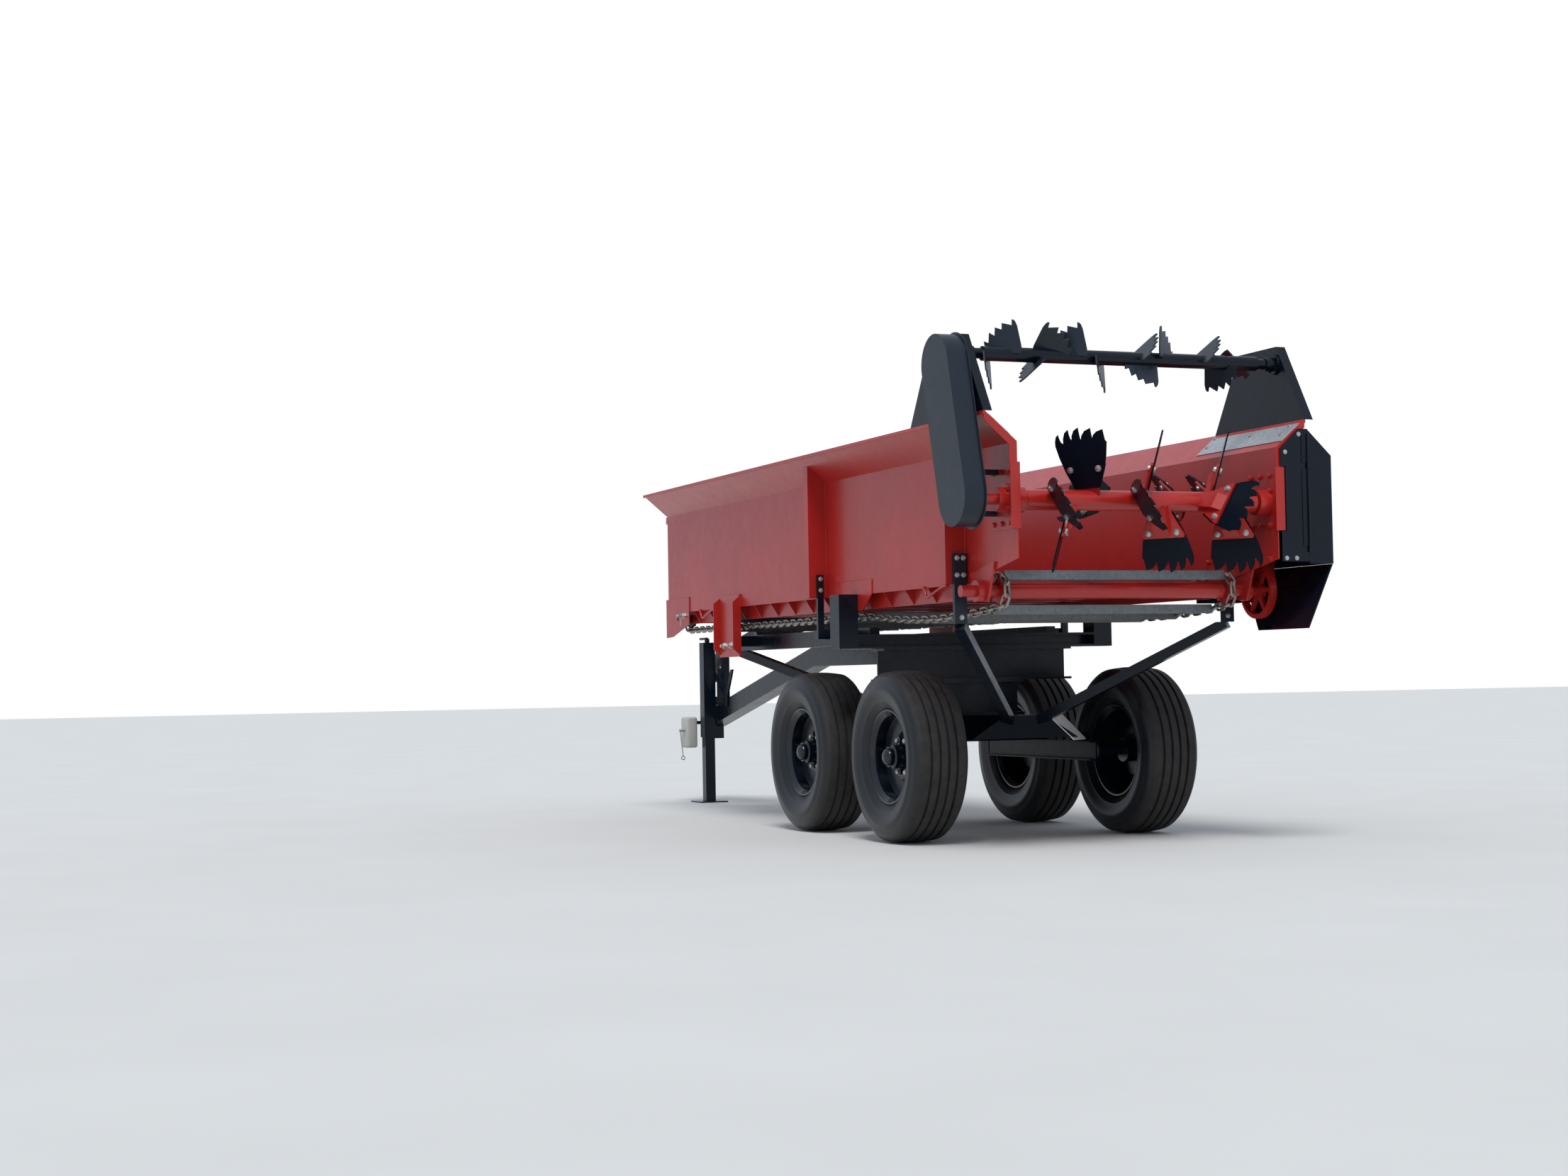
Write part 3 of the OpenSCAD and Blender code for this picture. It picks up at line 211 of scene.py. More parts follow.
def tyre_rubber(name, colour):
    """Moulded carbon-black rubber: shiny new sidewalls with a fine grain, and a tread that has been driven on,
    duller and browned by the soil; the attribute tread is 1 on what touches the ground."""
    material, tree, shader, place = blank(name)
    scuff = put(tree, "TexNoise", {"Vector": place, "Scale": 1 / 0.05, "Detail": 6.0, "Roughness": 0.65})
    base = linear(colour)
    share = put(tree, "MapRange", {"Value": scuff, 1: 0.45, 2: 0.8, 4: 0.5})
    rubber = put(tree, "Mix", {0: share, 6: base, 7: scaled(base, 2.1)}, data_type="RGBA")
    tread = put(tree, "Attribute", attribute_name="tread").outputs["Fac"]
    soil = put(tree, "MapRange", {"Value": scuff, 1: 0.35, 2: 0.7, 3: 0.1, 4: 0.6})
    soiled = put(tree, "Math", {0: tread, 1: soil}, operation="MULTIPLY")
    mixed = put(tree, "Mix", {0: soiled, 6: rubber.outputs[2], 7: linear("#3B342D")}, data_type="RGBA")
    sheen = put(tree, "MapRange", {"Value": scuff, 3: 0.28, 4: 0.46})
    gloss = put(tree, "Math", {0: tread, 1: 0.34, 2: sheen}, operation="MULTIPLY_ADD")
    grain = put(tree, "TexNoise", {"Vector": place, "Scale": 1 / 0.006, "Detail": 2.0})
    bump = put(tree, "Bump", {"Height": grain, "Strength": 0.12, "Distance": 0.001})
    lead(tree, shader, mixed, gloss, bump)
    return material


def moulded_plastic(name, colour):
    """Blow-moulded polyethylene: soft, even, with a faint pebble."""
    material, tree, shader, place = blank(name)
    pebble = put(tree, "TexNoise", {"Vector": place, "Scale": 1 / 0.008, "Detail": 2.0})
    clouds = put(tree, "TexNoise", {"Vector": place, "Scale": 1 / 0.1, "Detail": 3.0})
    base = linear(colour)
    mixed = put(tree, "Mix", {0: clouds, 6: scaled(base, 0.82), 7: base}, data_type="RGBA")
    gloss = put(tree, "MapRange", {"Value": clouds, 3: 0.5, 4: 0.62})
    bump = put(tree, "Bump", {"Height": pebble, "Strength": 0.08, "Distance": 0.001})
    lead(tree, shader, mixed, gloss, bump)
    return material


# The materials by slot of the record, and a few more that some pieces wear.
FINISHES = {}


# Mesh helpers


def grid_faces(rows, columns, wrap_rows=False, wrap_columns=False):
    """Corner numbers of the quads on a grid of points, closed round in either direction."""
    i = np.arange(rows if wrap_rows else rows - 1)[:, None]
    j = np.arange(columns if wrap_columns else columns - 1)[None, :]
    up, right = (i + 1) % rows, (j + 1) % columns
    corners = [i * columns + j, i * columns + right, up * columns + right, up * columns + j]
    return np.stack([np.broadcast_to(c, (len(i), j.shape[1])) for c in corners], -1).reshape(-1, 4)


def repeated(faces, points_each, count):
    """The faces of one shape, numbered on for each of its copies."""
    return (faces[None] + (np.arange(count) * points_each)[:, None, None]).reshape(-1, faces.shape[1])


def face_groups(faces):
    """Faces as a tuple of arrays, one for each number of corners."""
    return faces if isinstance(faces, tuple) else (faces,)


def piece(name, points, faces, slot, body, smooth=True, angle=40, finish=None):
    """Makes a closed mesh from arrays, merges poles, turns faces outwards and sets it on its body. It wears its
    slot's material, or the one that finish names."""
    mesh = bpy.data.meshes.new(name)
    rows = [row for group in face_groups(faces) for row in group.tolist()]
    mesh.from_pydata(np.asarray(points, float).reshape(-1, 3), [], rows)
    made = bpy.data.objects.new(name, mesh)
    bpy.context.scene.collection.objects.link(made)
    work = bmesh.new()
    work.from_mesh(mesh)
    bmesh.ops.remove_doubles(work, verts=work.verts, dist=1e-6)
    bmesh.ops.dissolve_degenerate(work, dist=1e-7, edges=work.edges)
    bmesh.ops.recalc_face_normals(work, faces=work.faces)
    work.to_mesh(mesh)
    work.free()
    mesh.materials.append(FINISHES[finish or slot])
    if smooth:
        mesh.polygons.foreach_set("use_smooth", np.ones(len(mesh.polygons), bool))
        mesh.set_sharp_from_angle(angle=math.radians(angle))
    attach(made, body)
    return made


def circles(axis, sides):
    """Each of the given axes as a unit vector, and the unit vectors evenly round it, one for each side."""
    axis = np.asarray(axis, float)
    axis = axis / np.linalg.norm(axis, axis=-1, keepdims=True)
    helper = np.where(np.abs(axis[..., 2:3]) < 0.9, [0.0, 0.0, 1.0], [1.0, 0.0, 0.0])
    u = np.cross(helper, axis)
    u = u / np.linalg.norm(u, axis=-1, keepdims=True)
    a = (np.arange(sides) * 2 * np.pi / sides)[:, None]
    return axis, np.cos(a) * u[..., None, :] + np.sin(a) * np.cross(axis, u)[..., None, :]


def turned(profile, centre, axis, sides):
    """Points and faces of a closed (radius, height) profile turned round an axis."""
    profile = np.asarray(profile, float)
    axis, ring = circles(axis, sides)
    points = np.asarray(centre) + profile[:, None, :1] * ring[None] + profile[:, None, 1:] * axis
    return points.reshape(-1, 3), grid_faces(len(profile), sides, True, True)


def studs(places, axes, radius, height, sides=6, washer=1.35, dome=0.8):
    """Points and faces of bolt heads: a washer, then a prism whose corners are cut to a cone, at each place.
    Each head is a stack of rings: ring k has radius r_k and height h_k along the axis."""
    places = np.atleast_2d(np.asarray(places, float))
    axis, circle = circles(np.broadcast_to(np.asarray(axes, float), places.shape), sides)
    foot, low, shoulder = -0.0005, height * 0.22, height * 0.8
    reach = np.array([0.0, washer, washer, 1.0, 1.0, dome, 0.0])[:, None, None] * radius
    level = np.array([foot, foot, low, low, shoulder, height, height])[:, None, None]
    points = places[:, None, None] + circle[:, None] * reach + axis[:, None, None] * level
    one = grid_faces(len(level), sides, False, True)
    return points.reshape(-1, 3), repeated(one, len(level) * sides, len(places))


def tube(path, radius, sides=10, closed=False):
    """Points and faces of a round rod of given radius carried along a path of points, its ends closed."""
    path = np.asarray(path, float)
    ahead = np.roll(path, -1, 0) - np.roll(path, 1, 0) if closed else np.gradient(path, axis=0)
    points = path[:, None] + circles(ahead, sides)[1] * radius
    if closed:
        return points.reshape(-1, 3), grid_faces(len(path), sides, True, True)
    first, last = (np.repeat(end[:, None], sides, 1) for end in (path[:1], path[-1:]))
    points = np.concatenate([first, points, last])
    return points.reshape(-1, 3), grid_faces(len(points), sides, False, True)


def rounded(corners, radius, steps=6):
    """A path of straight runs whose corners are arcs: each arc is a quadratic curve between two set-back points."""
    corners = np.asarray(corners, float)
    t = np.linspace(0, 1, steps)[:, None]
    parts = [corners[:1]]
    for before, corner, after in zip(corners[:-2], corners[1:-1], corners[2:]):
        a = corner + (before - corner) / np.linalg.norm(before - corner) * radius
        b = corner + (after - corner) / np.linalg.norm(after - corner) * radius
        parts.append((1 - t) ** 2 * a + 2 * t * (1 - t) * corner + t**2 * b)
    return np.concatenate(parts + [corners[-1:]])


def extruded(outline, run):
    """Points and faces of a flat outline carried straight along the vector run, with both ends closed."""
    outline = np.asarray(outline, float)
    n = len(outline)
    i = np.arange(n)
    sides = np.stack([i, (i + 1) % n, n + (i + 1) % n, n + i], 1)
    return np.concatenate([outline, outline + np.asarray(run, float)]), (sides, np.stack([i, n + i]))


def bar(low, high):
    """Points and faces of a box from its low corner to its high corner, in any order."""
    (x0, y0, z0), (x1, y1, z1) = low, high
    return extruded([[x0, y0, z0], [x1, y0, z0], [x1, y1, z0], [x0, y1, z0]], (0, 0, z1 - z0))


def soft_box(low, high, corner, edge, steps=5):
    """Points and faces of a box with rounded corners and edges. Ring k is the plan outline set in by
    edge * (1 - cos a) at a height that rises by edge * (1 + sin a), with a from -90 to 0 degrees at the foot
    and from 0 to 90 at the top."""
    low, high = np.asarray(low, float), np.asarray(high, float)
    quarter = np.linspace(0, np.pi / 2, steps)
    turn = (np.arange(4)[:, None] * np.pi / 2 + quarter).ravel()
    signs = np.repeat([[1, 1], [-1, 1], [-1, -1], [1, -1]], steps, 0)
    heart = (low + high) / 2
    half = (high - low)[:2] / 2 - corner
    inset = np.concatenate([edge * (1 - np.sin(quarter)), edge * (1 - np.cos(quarter))])
    height = np.concatenate([low[2] + edge * (1 - np.cos(quarter)), high[2] - edge * (1 - np.sin(quarter))])
    plan = signs * half + (corner - inset)[:, None, None] * np.stack([np.cos(turn), np.sin(turn)], 1)
    rings = np.concatenate([heart[:2] + plan, np.broadcast_to(height[:, None, None], plan.shape[:2] + (1,))], 2)
    ends = [np.broadcast_to([heart[0], heart[1], z], (1, len(turn), 3)) for z in (low[2], high[2])]
    rings = np.concatenate([ends[0], rings, ends[1]])
    return rings.reshape(-1, 3), grid_faces(len(rings), len(turn), False, True)


def from_side(flat, y=0.0):
    """(along, height) points, as seen from the side, as points in space at one place across the machine."""
    return np.insert(np.asarray(flat, float), 1, y, axis=-1)


def lengthwise(outline, x, run):
    """Points and faces of an (across, height) outline carried along the machine from x, for the length run."""
    return extruded(np.insert(np.asarray(outline, float), 0, x, axis=-1), (run, 0, 0))


def distances(path):
    """How far along a path of straight runs each of its points lies."""
    return np.concatenate([[0], np.cumsum(np.linalg.norm(np.diff(path, axis=0), axis=1))])


def walked(path, at):
    """The points at given distances along a path of straight runs."""
    return np.stack([np.interp(at, distances(path), column) for column in path.T], 1)


def plate_turn(y, angle, twist, lean):
    """How a beater's plate is turned, in degrees, as a 3 by 3 array: it leans over, is twisted round the radial
    line, is mirrored where y isn't positive, and goes round the shaft to its angle."""
    return np.array(
        Matrix.Rotation(math.radians(-angle), 3, "Y")
        @ Matrix.Diagonal((1, 1 if y > 0 else -1, 1))
        @ Matrix.Rotation(math.radians(twist), 3, "Z")
        @ Matrix.Rotation(math.radians(-lean), 3, "X")
    )


def joined(shapes):
    """Several (points, faces) shapes as one."""
    starts = np.cumsum([0] + [len(p) for p, _ in shapes[:-1]])
    points = np.concatenate([p for p, _ in shapes])
    return points, tuple(group + start for start, (_, f) in zip(starts, shapes) for group in face_groups(f))


def mirrored(shapes):
    """Shapes and their mirror images on the machine's other side."""
    return shapes + [(points * [1, -1, 1], faces) for points, faces in shapes]


# Operators


class SPREADER_OT_stage(bpy.types.Operator):
    """Floor, lights and the camera at the photograph's angle"""

    bl_idname = "spreader.stage"
    bl_label = "Stage"

    def execute(self, context):
        scene = context.scene
        scene.view_settings.view_transform = "Standard"
        side = 60.0
        mesh = bpy.data.meshes.new("floor")
        corners = [(-side, -side, 0), (side, -side, 0), (side, side, 0), (-side, side, 0)]
        mesh.from_pydata(corners, [], [(0, 1, 2, 3)])
        floor = bpy.data.objects.new("floor_plane", mesh)
        scene.collection.objects.link(floor)
        material, tree, shader, place = blank("pale concrete")
        mottle = put(tree, "TexNoise", {"Vector": place, "Scale": 1 / 0.8, "Detail": 4.0})
        greys = {0: mottle, 6: linear("#CFCFCC"), 7: linear("#D8D8D5")}
        tone = put(tree, "Mix", greys, data_type="RGBA")
        tree.links.new(tone.outputs[2], shader.inputs["Base Color"])
        shader.inputs["Roughness"].default_value = 0.9
        mesh.materials.append(material)

        world = bpy.data.worlds.new("soft studio")
        scene.world = world
        world.use_nodes = True
        tree = world.node_tree
        light = tree.nodes["Background"]
        light.inputs["Color"].default_value = linear("#E6EFFC")
        light.inputs["Strength"].default_value = 0.68
        seen = put(tree, "Background", {"Color": linear("#FFFFFF")})
        rays = put(tree, "LightPath").outputs
        either = {0: rays["Is Camera Ray"], 1: rays["Is Transmission Ray"]}
        direct = put(tree, "Math", either, operation="MAXIMUM")
        mixed = put(tree, "MixShader", {0: direct, 1: light, 2: seen})
        tree.links.new(mixed.outputs[0], tree.nodes["World Output"].inputs["Surface"])

        sun = bpy.data.lights.new("high soft sun", "SUN")
        sun.energy = 1.9
        sun.angle = math.radians(22)
        lamp = bpy.data.objects.new("high soft sun", sun)
        lamp.rotation_euler = (math.radians(-22), math.radians(-24), math.radians(20))
        scene.collection.objects.link(lamp)

        # The photograph's camera: its place in metres, its yaw, pitch and roll in degrees, and its focal length
        # over the image's width.
        eye = Vector((-11.317, 5.067, 0.747))
        yaw, pitch, roll = (math.radians(v) for v in (-21.573, 2.217, -0.983))
        focal_share = 1.5124
        ahead = Vector((math.cos(yaw) * math.cos(pitch), math.sin(yaw) * math.cos(pitch), math.sin(pitch)))
        level = Vector((math.sin(yaw), -math.cos(yaw), 0))
        upright = level.cross(ahead)
        right = level * math.cos(roll) + upright * math.sin(roll)
        up = upright * math.cos(roll) - level * math.sin(roll)
        camera = bpy.data.cameras.new("camera")
        camera.sensor_fit = "HORIZONTAL"
        camera.sensor_width = 36.0
        camera.lens = camera.sensor_width * focal_share
        camera.clip_end = 300.0
        holder = bpy.data.objects.new("camera", camera)
        holder.matrix_world = Matrix.Translation(eye) @ Matrix((right, up, -ahead)).transposed().to_4x4()
        scene.collection.objects.link(holder)
        scene.camera = holder
        return {"FINISHED"}


class SPREADER_OT_finishes(bpy.types.Operator):
    """Makes the finishes and paints the CAD nodes with them"""

    bl_idname = "spreader.finishes"
    bl_label = "Finishes"

    # Nodes whose finish differs a little from the rest of their slot.
    special = {"lower_claws": "claw_paint", "wear_plates": "fresh_zinc", "hangers": "slate_paint"}

    def execute(self, context):
        look = context.scene.spreader_look
        FINISHES.update(
            red_paint=enamel("red enamel on sheet steel", look.red, 0.33, 0.88, dust=0.05),
            black_paint=enamel("black enamel on beams", look.black, 0.26, 0.7, dust=0.03, mirror=0.26),
            # A darker, less glossy copy of the black enamel: painted shade for the claws and the running gear under
            # the box.
            claw_paint=enamel("black enamel dulled as painted shade", look.black, 0.3, 0.6, dust=0.02, mirror=0.1),
            # The corner plate's white stands in for the sky's reflection on it: a painted reflection.
            white_paint=enamel("white as a painted sky reflection on a plate", "#F4F6F6", 0.3, 0.95, dust=0.04),
            slate_paint=enamel("slate enamel on guards", look.slate, 0.34, 0.85, dust=0.04, mirror=0.3),
            rim_paint=enamel("black enamel on rims", look.black, 0.2, 0.7, dust=0.06, mirror=0.46),
            galvanised=dipped_zinc("hot-dip galvanised steel", look.galvanised),
            # A lighter copy of the galvanised finish: painted sheen for the wear plates' grazing sky reflection.
            fresh_zinc=dipped_zinc("galvanised sheet lightened as painted sheen", look.sheet),
            chain_steel=plated_zinc("tumbled link steel", "#ABA8A0", 0.36),
            fasteners=plated_zinc("zinc-plated fasteners", look.zinc),
            guard_plastic=moulded_plastic("black polyethylene guard", "#121315"),
            canister_plastic=moulded_plastic("pale polyethylene box", "#C4C4BE"),
            tyre=tyre_rubber("moulded tyre rubber", look.rubber),
        )
        for row in frame["record"]["subparts"]:
            node = frame["nodes"].get(row["node"])
            if node is None:
                continue
            material = FINISHES[self.special.get(row["node"], row["material_slot"])]
            if node.data.materials:
                node.data.materials[0] = material
            else:
                node.data.materials.append(material)
        return {"FINISHED"}


class SPREADER_OT_tyres(bpy.types.Operator):
    """Tyres with grooved treads and moulded sidewalls"""

    bl_idname = "spreader.tyres"
    bl_label = "Tyres"

    def profile(self, node, look):
        """The tyre's section as (radius, place across), from bead to bead and back inside. The tread's crown is a
        parabola, 9 mm lower at its edges. It drops by the groove depth within 4 mm of a groove's middle, and less
        and less up to 6.2 mm from it; phase is 1, 2, 3 and so on at the middles."""
        low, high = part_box(node)
        r, h = (high.z - low.z) / 2, (high.y - low.y) / 2
        bead, seat = h * 0.64, r * 0.552
        side = np.array([
            (seat, -bead - 0.004), (seat + 0.012, -bead - 0.022), (seat + 0.03, -h * 0.86),
            (seat + 0.034, -h * 0.885), (seat + 0.04, -h * 0.885), (seat + 0.06, -h * 0.965),
            (seat + 0.085, -h * 0.995), (r - 0.085, -h), (r - 0.07, -h * 0.985), (r - 0.066, -h * 0.965),
            (r - 0.05, -h * 0.955), (r - 0.03, -h * 0.90), (r - 0.018, -h * 0.83), (r - 0.0105, -h * 0.765),
        ])
        ribs, half, groove, slope = look.grooves + 1, h * 0.75, 0.0062, 0.0022
        t = np.linspace(-half, half, 12 * ribs + 1)
        crown = r - 0.009 * (t / half) ** 2
        phase = (t / half + 1) / 2 * ribs
        near = np.abs(phase - np.round(phase)) * 2 * half / ribs
        inside = (np.round(phase) > 0) & (np.round(phase) < ribs)
        cut = np.clip((groove - near) / slope, 0, 1) * inside * look.groove_depth
        tread = np.stack([crown - cut, t], 1)
        inner = np.array([(seat + 0.004, bead - 0.02), (r - 0.05, h * 0.6), (r - 0.04, 0.0), (r - 0.05, -h * 0.6)])
        last = np.array([(seat + 0.004, -bead + 0.02)])
        return np.concatenate([side, tread, side[::-1] * [1, -1], inner, last])

    def execute(self, context):
        look = context.scene.spreader_look
        for wheel in WHEELS:
            node = "tyre_" + wheel
            centre = middle(node)
            points, faces = turned(self.profile(node, look), centre, (0, 1, 0), 128)
            made = piece("ribbed_tyre_" + wheel, points, faces, "tyre", "wheel_" + wheel, angle=32)
            places = np.empty(len(made.data.vertices) * 3, np.float32)
            made.data.vertices.foreach_get("co", places)
            reach = np.linalg.norm(places.reshape(-1, 3)[:, [0, 2]] - centre[[0, 2]], axis=1)
            edge = reach.max() - 0.026
            mark = made.data.attributes.new("tread", "FLOAT", "POINT")
            mark.data.foreach_set("value", np.clip((reach - edge) / 0.012, 0, 1).astype(np.float32))
            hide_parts(node)
        return {"FINISHED"}


class SPREADER_OT_wheel_trim(bpy.types.Operator):
    """Lug nuts, dust caps and valve stems"""

    bl_idname = "spreader.wheel_trim"
    bl_label = "Wheel trim"

    def execute(self, context):
        a = np.arange(6) * np.pi / 3
        bolt_circle, disc = 0.082, 0.0262
        studs_round = from_side(np.stack([np.cos(a), np.sin(a)], 1)) * bolt_circle
        # The cap is a rim and, above it, a quarter of an ellipse.
        rise = np.linspace(0, np.pi / 2, 9)
        dome = np.stack([0.041 * np.cos(rise), 0.1 + 0.026 * np.sin(rise)], 1)
        cap = np.concatenate([[(0.0, 0.095), (0.046, 0.095), (0.046, 0.1)], dome])
        for wheel in WHEELS:
            side = 1 if wheel.endswith("left") else -1
            centre, out, body = middle("tyre_" + wheel), np.array([0, side, 0]), "wheel_" + wheel
            nuts = studs(centre + studs_round + out * disc, out, 0.0135, 0.017, 6, 1.25, 0.72)
            piece("lug_nuts_" + wheel, *nuts, "chain_steel", body, False, finish="fasteners")
            piece("dust_cap_" + wheel, *turned(cap, centre, out, 36), "rim_paint", body)
            stem = np.array([[0.143, 0.02, 0.03], [0.143, 0.05, 0.03], [0.15, 0.075, 0.032]]) * [1, side, 1]
            piece("valve_stem_" + wheel, *tube(rounded(centre + stem, 0.012), 0.0045, 8), "rim_paint", body)
        return {"FINISHED"}


def hang(x, depth):
    """How far the return run hangs at a place along the machine: a parabola between the rear sprocket and the
    bolster, 4 * depth * u * (1 - u) with u from 0 to 1, and nothing from the bolster on, which carries it."""
    rear, bolster = middle("apron_gear")[0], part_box("bolster_beams")[0].x
    u = np.clip((np.asarray(x, float) - rear) / (bolster - rear), 0, 1)
    return 4 * depth * u * (1 - u)


class SPREADER_OT_slats(bpy.types.Operator):
    """Angle slats that follow the chains, also where the return run hangs down"""

    bl_idname = "spreader.slats"
    bl_label = "Apron slats"

    def execute(self, context):
        look = context.scene.spreader_look
        low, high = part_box("apron_slats")
        rear = middle("apron_gear")[0]
        side, thick, pitch, count = 0.04, 0.005, 0.305, 12
        section = np.array([[0, 0], [side, 0], [side, thick], [thick, thick], [thick, side], [0, side]])
        shapes = []
        for first, foot, way in ((-0.02, high.z - side, 1), (0.09, low.z + side, -1)):
            for x in rear + first + np.arange(count) * pitch:
                drop = 0 if way > 0 else float(hang(x + side / 2, look.sag))
                outline = from_side(section * [1, way] + [x, foot - drop], low.y)
                shapes.append(extruded(outline, (0, high.y - low.y, 0)))
        made = piece("apron_angles", *joined(shapes), "galvanised", "chassis", False)
        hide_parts("apron_slats")
        return {"FINISHED"}


class SPREADER_OT_chains(bpy.types.Operator):
    """Welded link chains round the apron's sprockets"""

    bl_idname = "spreader.chains"
    bl_label = "Apron chains"

    def loop(self, count, depth):
        """Evenly spaced points of the chain's middle line and its directions, in (x, z): two half circles
        round the shafts, a straight upper run and a lower run that hangs down behind the bolster."""
        rear, front = middle("apron_gear"), middle("apron_front_shaft")
        low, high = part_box("apron_chains")
        half_link, ahead = 0.011, 0.004
        r = (high.z - low.z) / 2 - half_link
        z = (high.z + low.z) / 2
        turn = np.linspace(0, 1, 400)
        top = np.stack([rear[0] + (front[0] - rear[0]) * turn, z + r + 0 * turn], 1)
        nose = np.stack([front[0] + r * np.sin(np.pi * turn), z + r * np.cos(np.pi * turn)], 1)
        back_x = front[0] + (rear[0] - front[0]) * turn
        back = np.stack([back_x, z - r - hang(back_x, depth)], 1)
        tail = np.stack([rear[0] - r * np.sin(np.pi * turn), z - r * np.cos(np.pi * turn)], 1)
        path = np.concatenate([top[:-1], nose[:-1], back[:-1], tail])
        length = distances(path)[-1]
        at = np.arange(count) / count * length
        point = walked(path, at)
        way = walked(path, at + ahead) - point
        return point, way / np.linalg.norm(way, axis=1, keepdims=True), length

    def link(self, pitch, wire):
        """One link: a round wire bent to an oval, as a grid of (along, across, thick) points. The middle line is a
        stretched circle: two half circles of radius bend, each set off from the middle by straight."""
        turns, sides = 16, 6
        bend = wire * 1.25
        a = np.arange(turns) * 2 * np.pi / turns
        straight = (pitch + 2 * wire) / 2 - bend - wire / 2
        middle_line = np.stack([bend * np.cos(a) + straight * np.sign(np.cos(a)), bend * np.sin(a), 0 * a], 1)
        outward = np.stack([np.cos(a), np.sin(a), 0 * a], 1)
        b = np.arange(sides) * 2 * np.pi / sides
        ring = outward[:, None] * np.cos(b)[None, :, None] + np.array([0, 0, 1.0]) * np.sin(b)[None, :, None]
        return (middle_line[:, None] + ring * wire / 2).reshape(-1, 3), grid_faces(turns, sides, True, True)

    def execute(self, context):
        look = context.scene.spreader_look
        _, _, length = self.loop(4, look.sag)
        count = 2 * round(length / look.link_pitch / 2)
        point, way, _ = self.loop(count, look.sag)
        one, faces = self.link(length / count, look.link_wire)
        faces = repeated(faces, len(one), count)
        # Every other link leans to the other side, by 0.5 and 1.07 radians, a right angle apart.
        lean = np.where(np.arange(count) % 2 == 0, 0.5, -1.07)[:, None]
        along, rise, side = from_side(way), from_side(way[:, ::-1] * [-1, 1]), np.array([0.0, 1.0, 0.0])
        wide = side * np.cos(lean) + rise * np.sin(lean)
        thick = rise * np.cos(lean) - side * np.sin(lean)
        basis = np.stack([along, wide, thick], 1)
        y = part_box("apron_chains")[1].y - 0.013
        for name, place in (("left", y), ("right", -y)):
            points = np.einsum("pk,nkj->npj", one, basis) + from_side(point, place)[:, None]
            made = piece("link_chain_" + name, points, faces, "chain_steel", "chassis", angle=60)
            if name == "left":
                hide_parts("apron_chains")
        return {"FINISHED"}


class SPREADER_OT_claw_bolts(bpy.types.Operator):
    """Round-headed bolts that hold the claw plates"""

    bl_idname = "spreader.claw_bolts"
    bl_label = "Claw bolts"

    # Columns: place across the machine in metres, angle round the beater in degrees, as on the lower beater.
    claws = (
        (0.42, 90), (0.33, 180), (0.24, 0), (0.13, 270), (0.03, 90), (-0.02, 0),
        (-0.09, 180), (-0.2, 270), (-0.29, 90), (-0.34, 0), (-0.38, 270), (-0.43, 180),
    )
    twist, lean = 30, 15
    # Half the distance between a claw's two bolts, and how far they are from the beater's axis, in metres.
    gauge, reach = 0.0675, 0.134

    def execute(self, context):
        centre = middle("lower_beater")
        places, axes = [], []
        for y, angle in self.claws:
            turn = plate_turn(y, angle, self.twist, self.lean)
            for along in (-self.gauge, self.gauge):
                for face, way in ((0.0062, 1), (-0.0101, -1)):
                    places.append(turn @ [along, face, self.reach] + [centre[0], y, centre[2]])
                    axes.append(turn @ [0, way, 0])
        heads = studs(places, axes, 0.0125, 0.011, 12, 1.15, 0.55)
        piece("claw_bolts", *heads, "chain_steel", "lower_beater", finish="fasteners")
        return {"FINISHED"}


class SPREADER_OT_blades(bpy.types.Operator):
    """The upper beater's stepped blades, some of which lean over"""

    bl_idname = "spreader.blades"
    bl_label = "Upper blades"

    # Columns: place across the machine in metres, angle round the beater, twist and lean in degrees.
    blades = (
        (0.645, 170, 35, 0), (0.57, 5, 50, 0), (0.39, 195, -170, -40), (0.34, 30, -110, 0),
        (0.26, 5, 50, 0), (0.11, 170, 40, 0), (-0.075, 15, -170, -40), (-0.08, 150, -90, 0),
        (-0.22, 355, 50, 0), (-0.385, 15, -170, -40), (-0.5, 205, 30, 0), (-0.59, 265, 45, 0),
    )
    # Columns: place across a blade, and distance from the beater's axis, in millimetres.
    outline = (
        (84, 4), (82, 33), (76, 59), (69, 88), (62, 118), (53, 137), (46, 144), (38, 145), (39, 121), (-4, 130),
        (-4, 103), (-33, 112), (-34, 77), (-58, 90), (-59, 47), (-80, 54), (-72, 20), (-66, 4),
    )
    thickness = 0.006

    def execute(self, context):
        centre = middle("upper_beater")
        flat = from_side(np.array(self.outline) / [-1000, 1000], -self.thickness / 2)
        shapes = []
        for y, angle, twist, lean in self.blades:
            turn = plate_turn(y, angle, twist, lean)
            face = flat @ turn.T + [centre[0], y, centre[2]]
            shapes.append(extruded(face, turn @ [0, self.thickness, 0]))
        made = piece("stepped_blades", *joined(shapes), "slate_paint", "upper_beater", False)
        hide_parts("upper_blades")
        return {"FINISHED"}


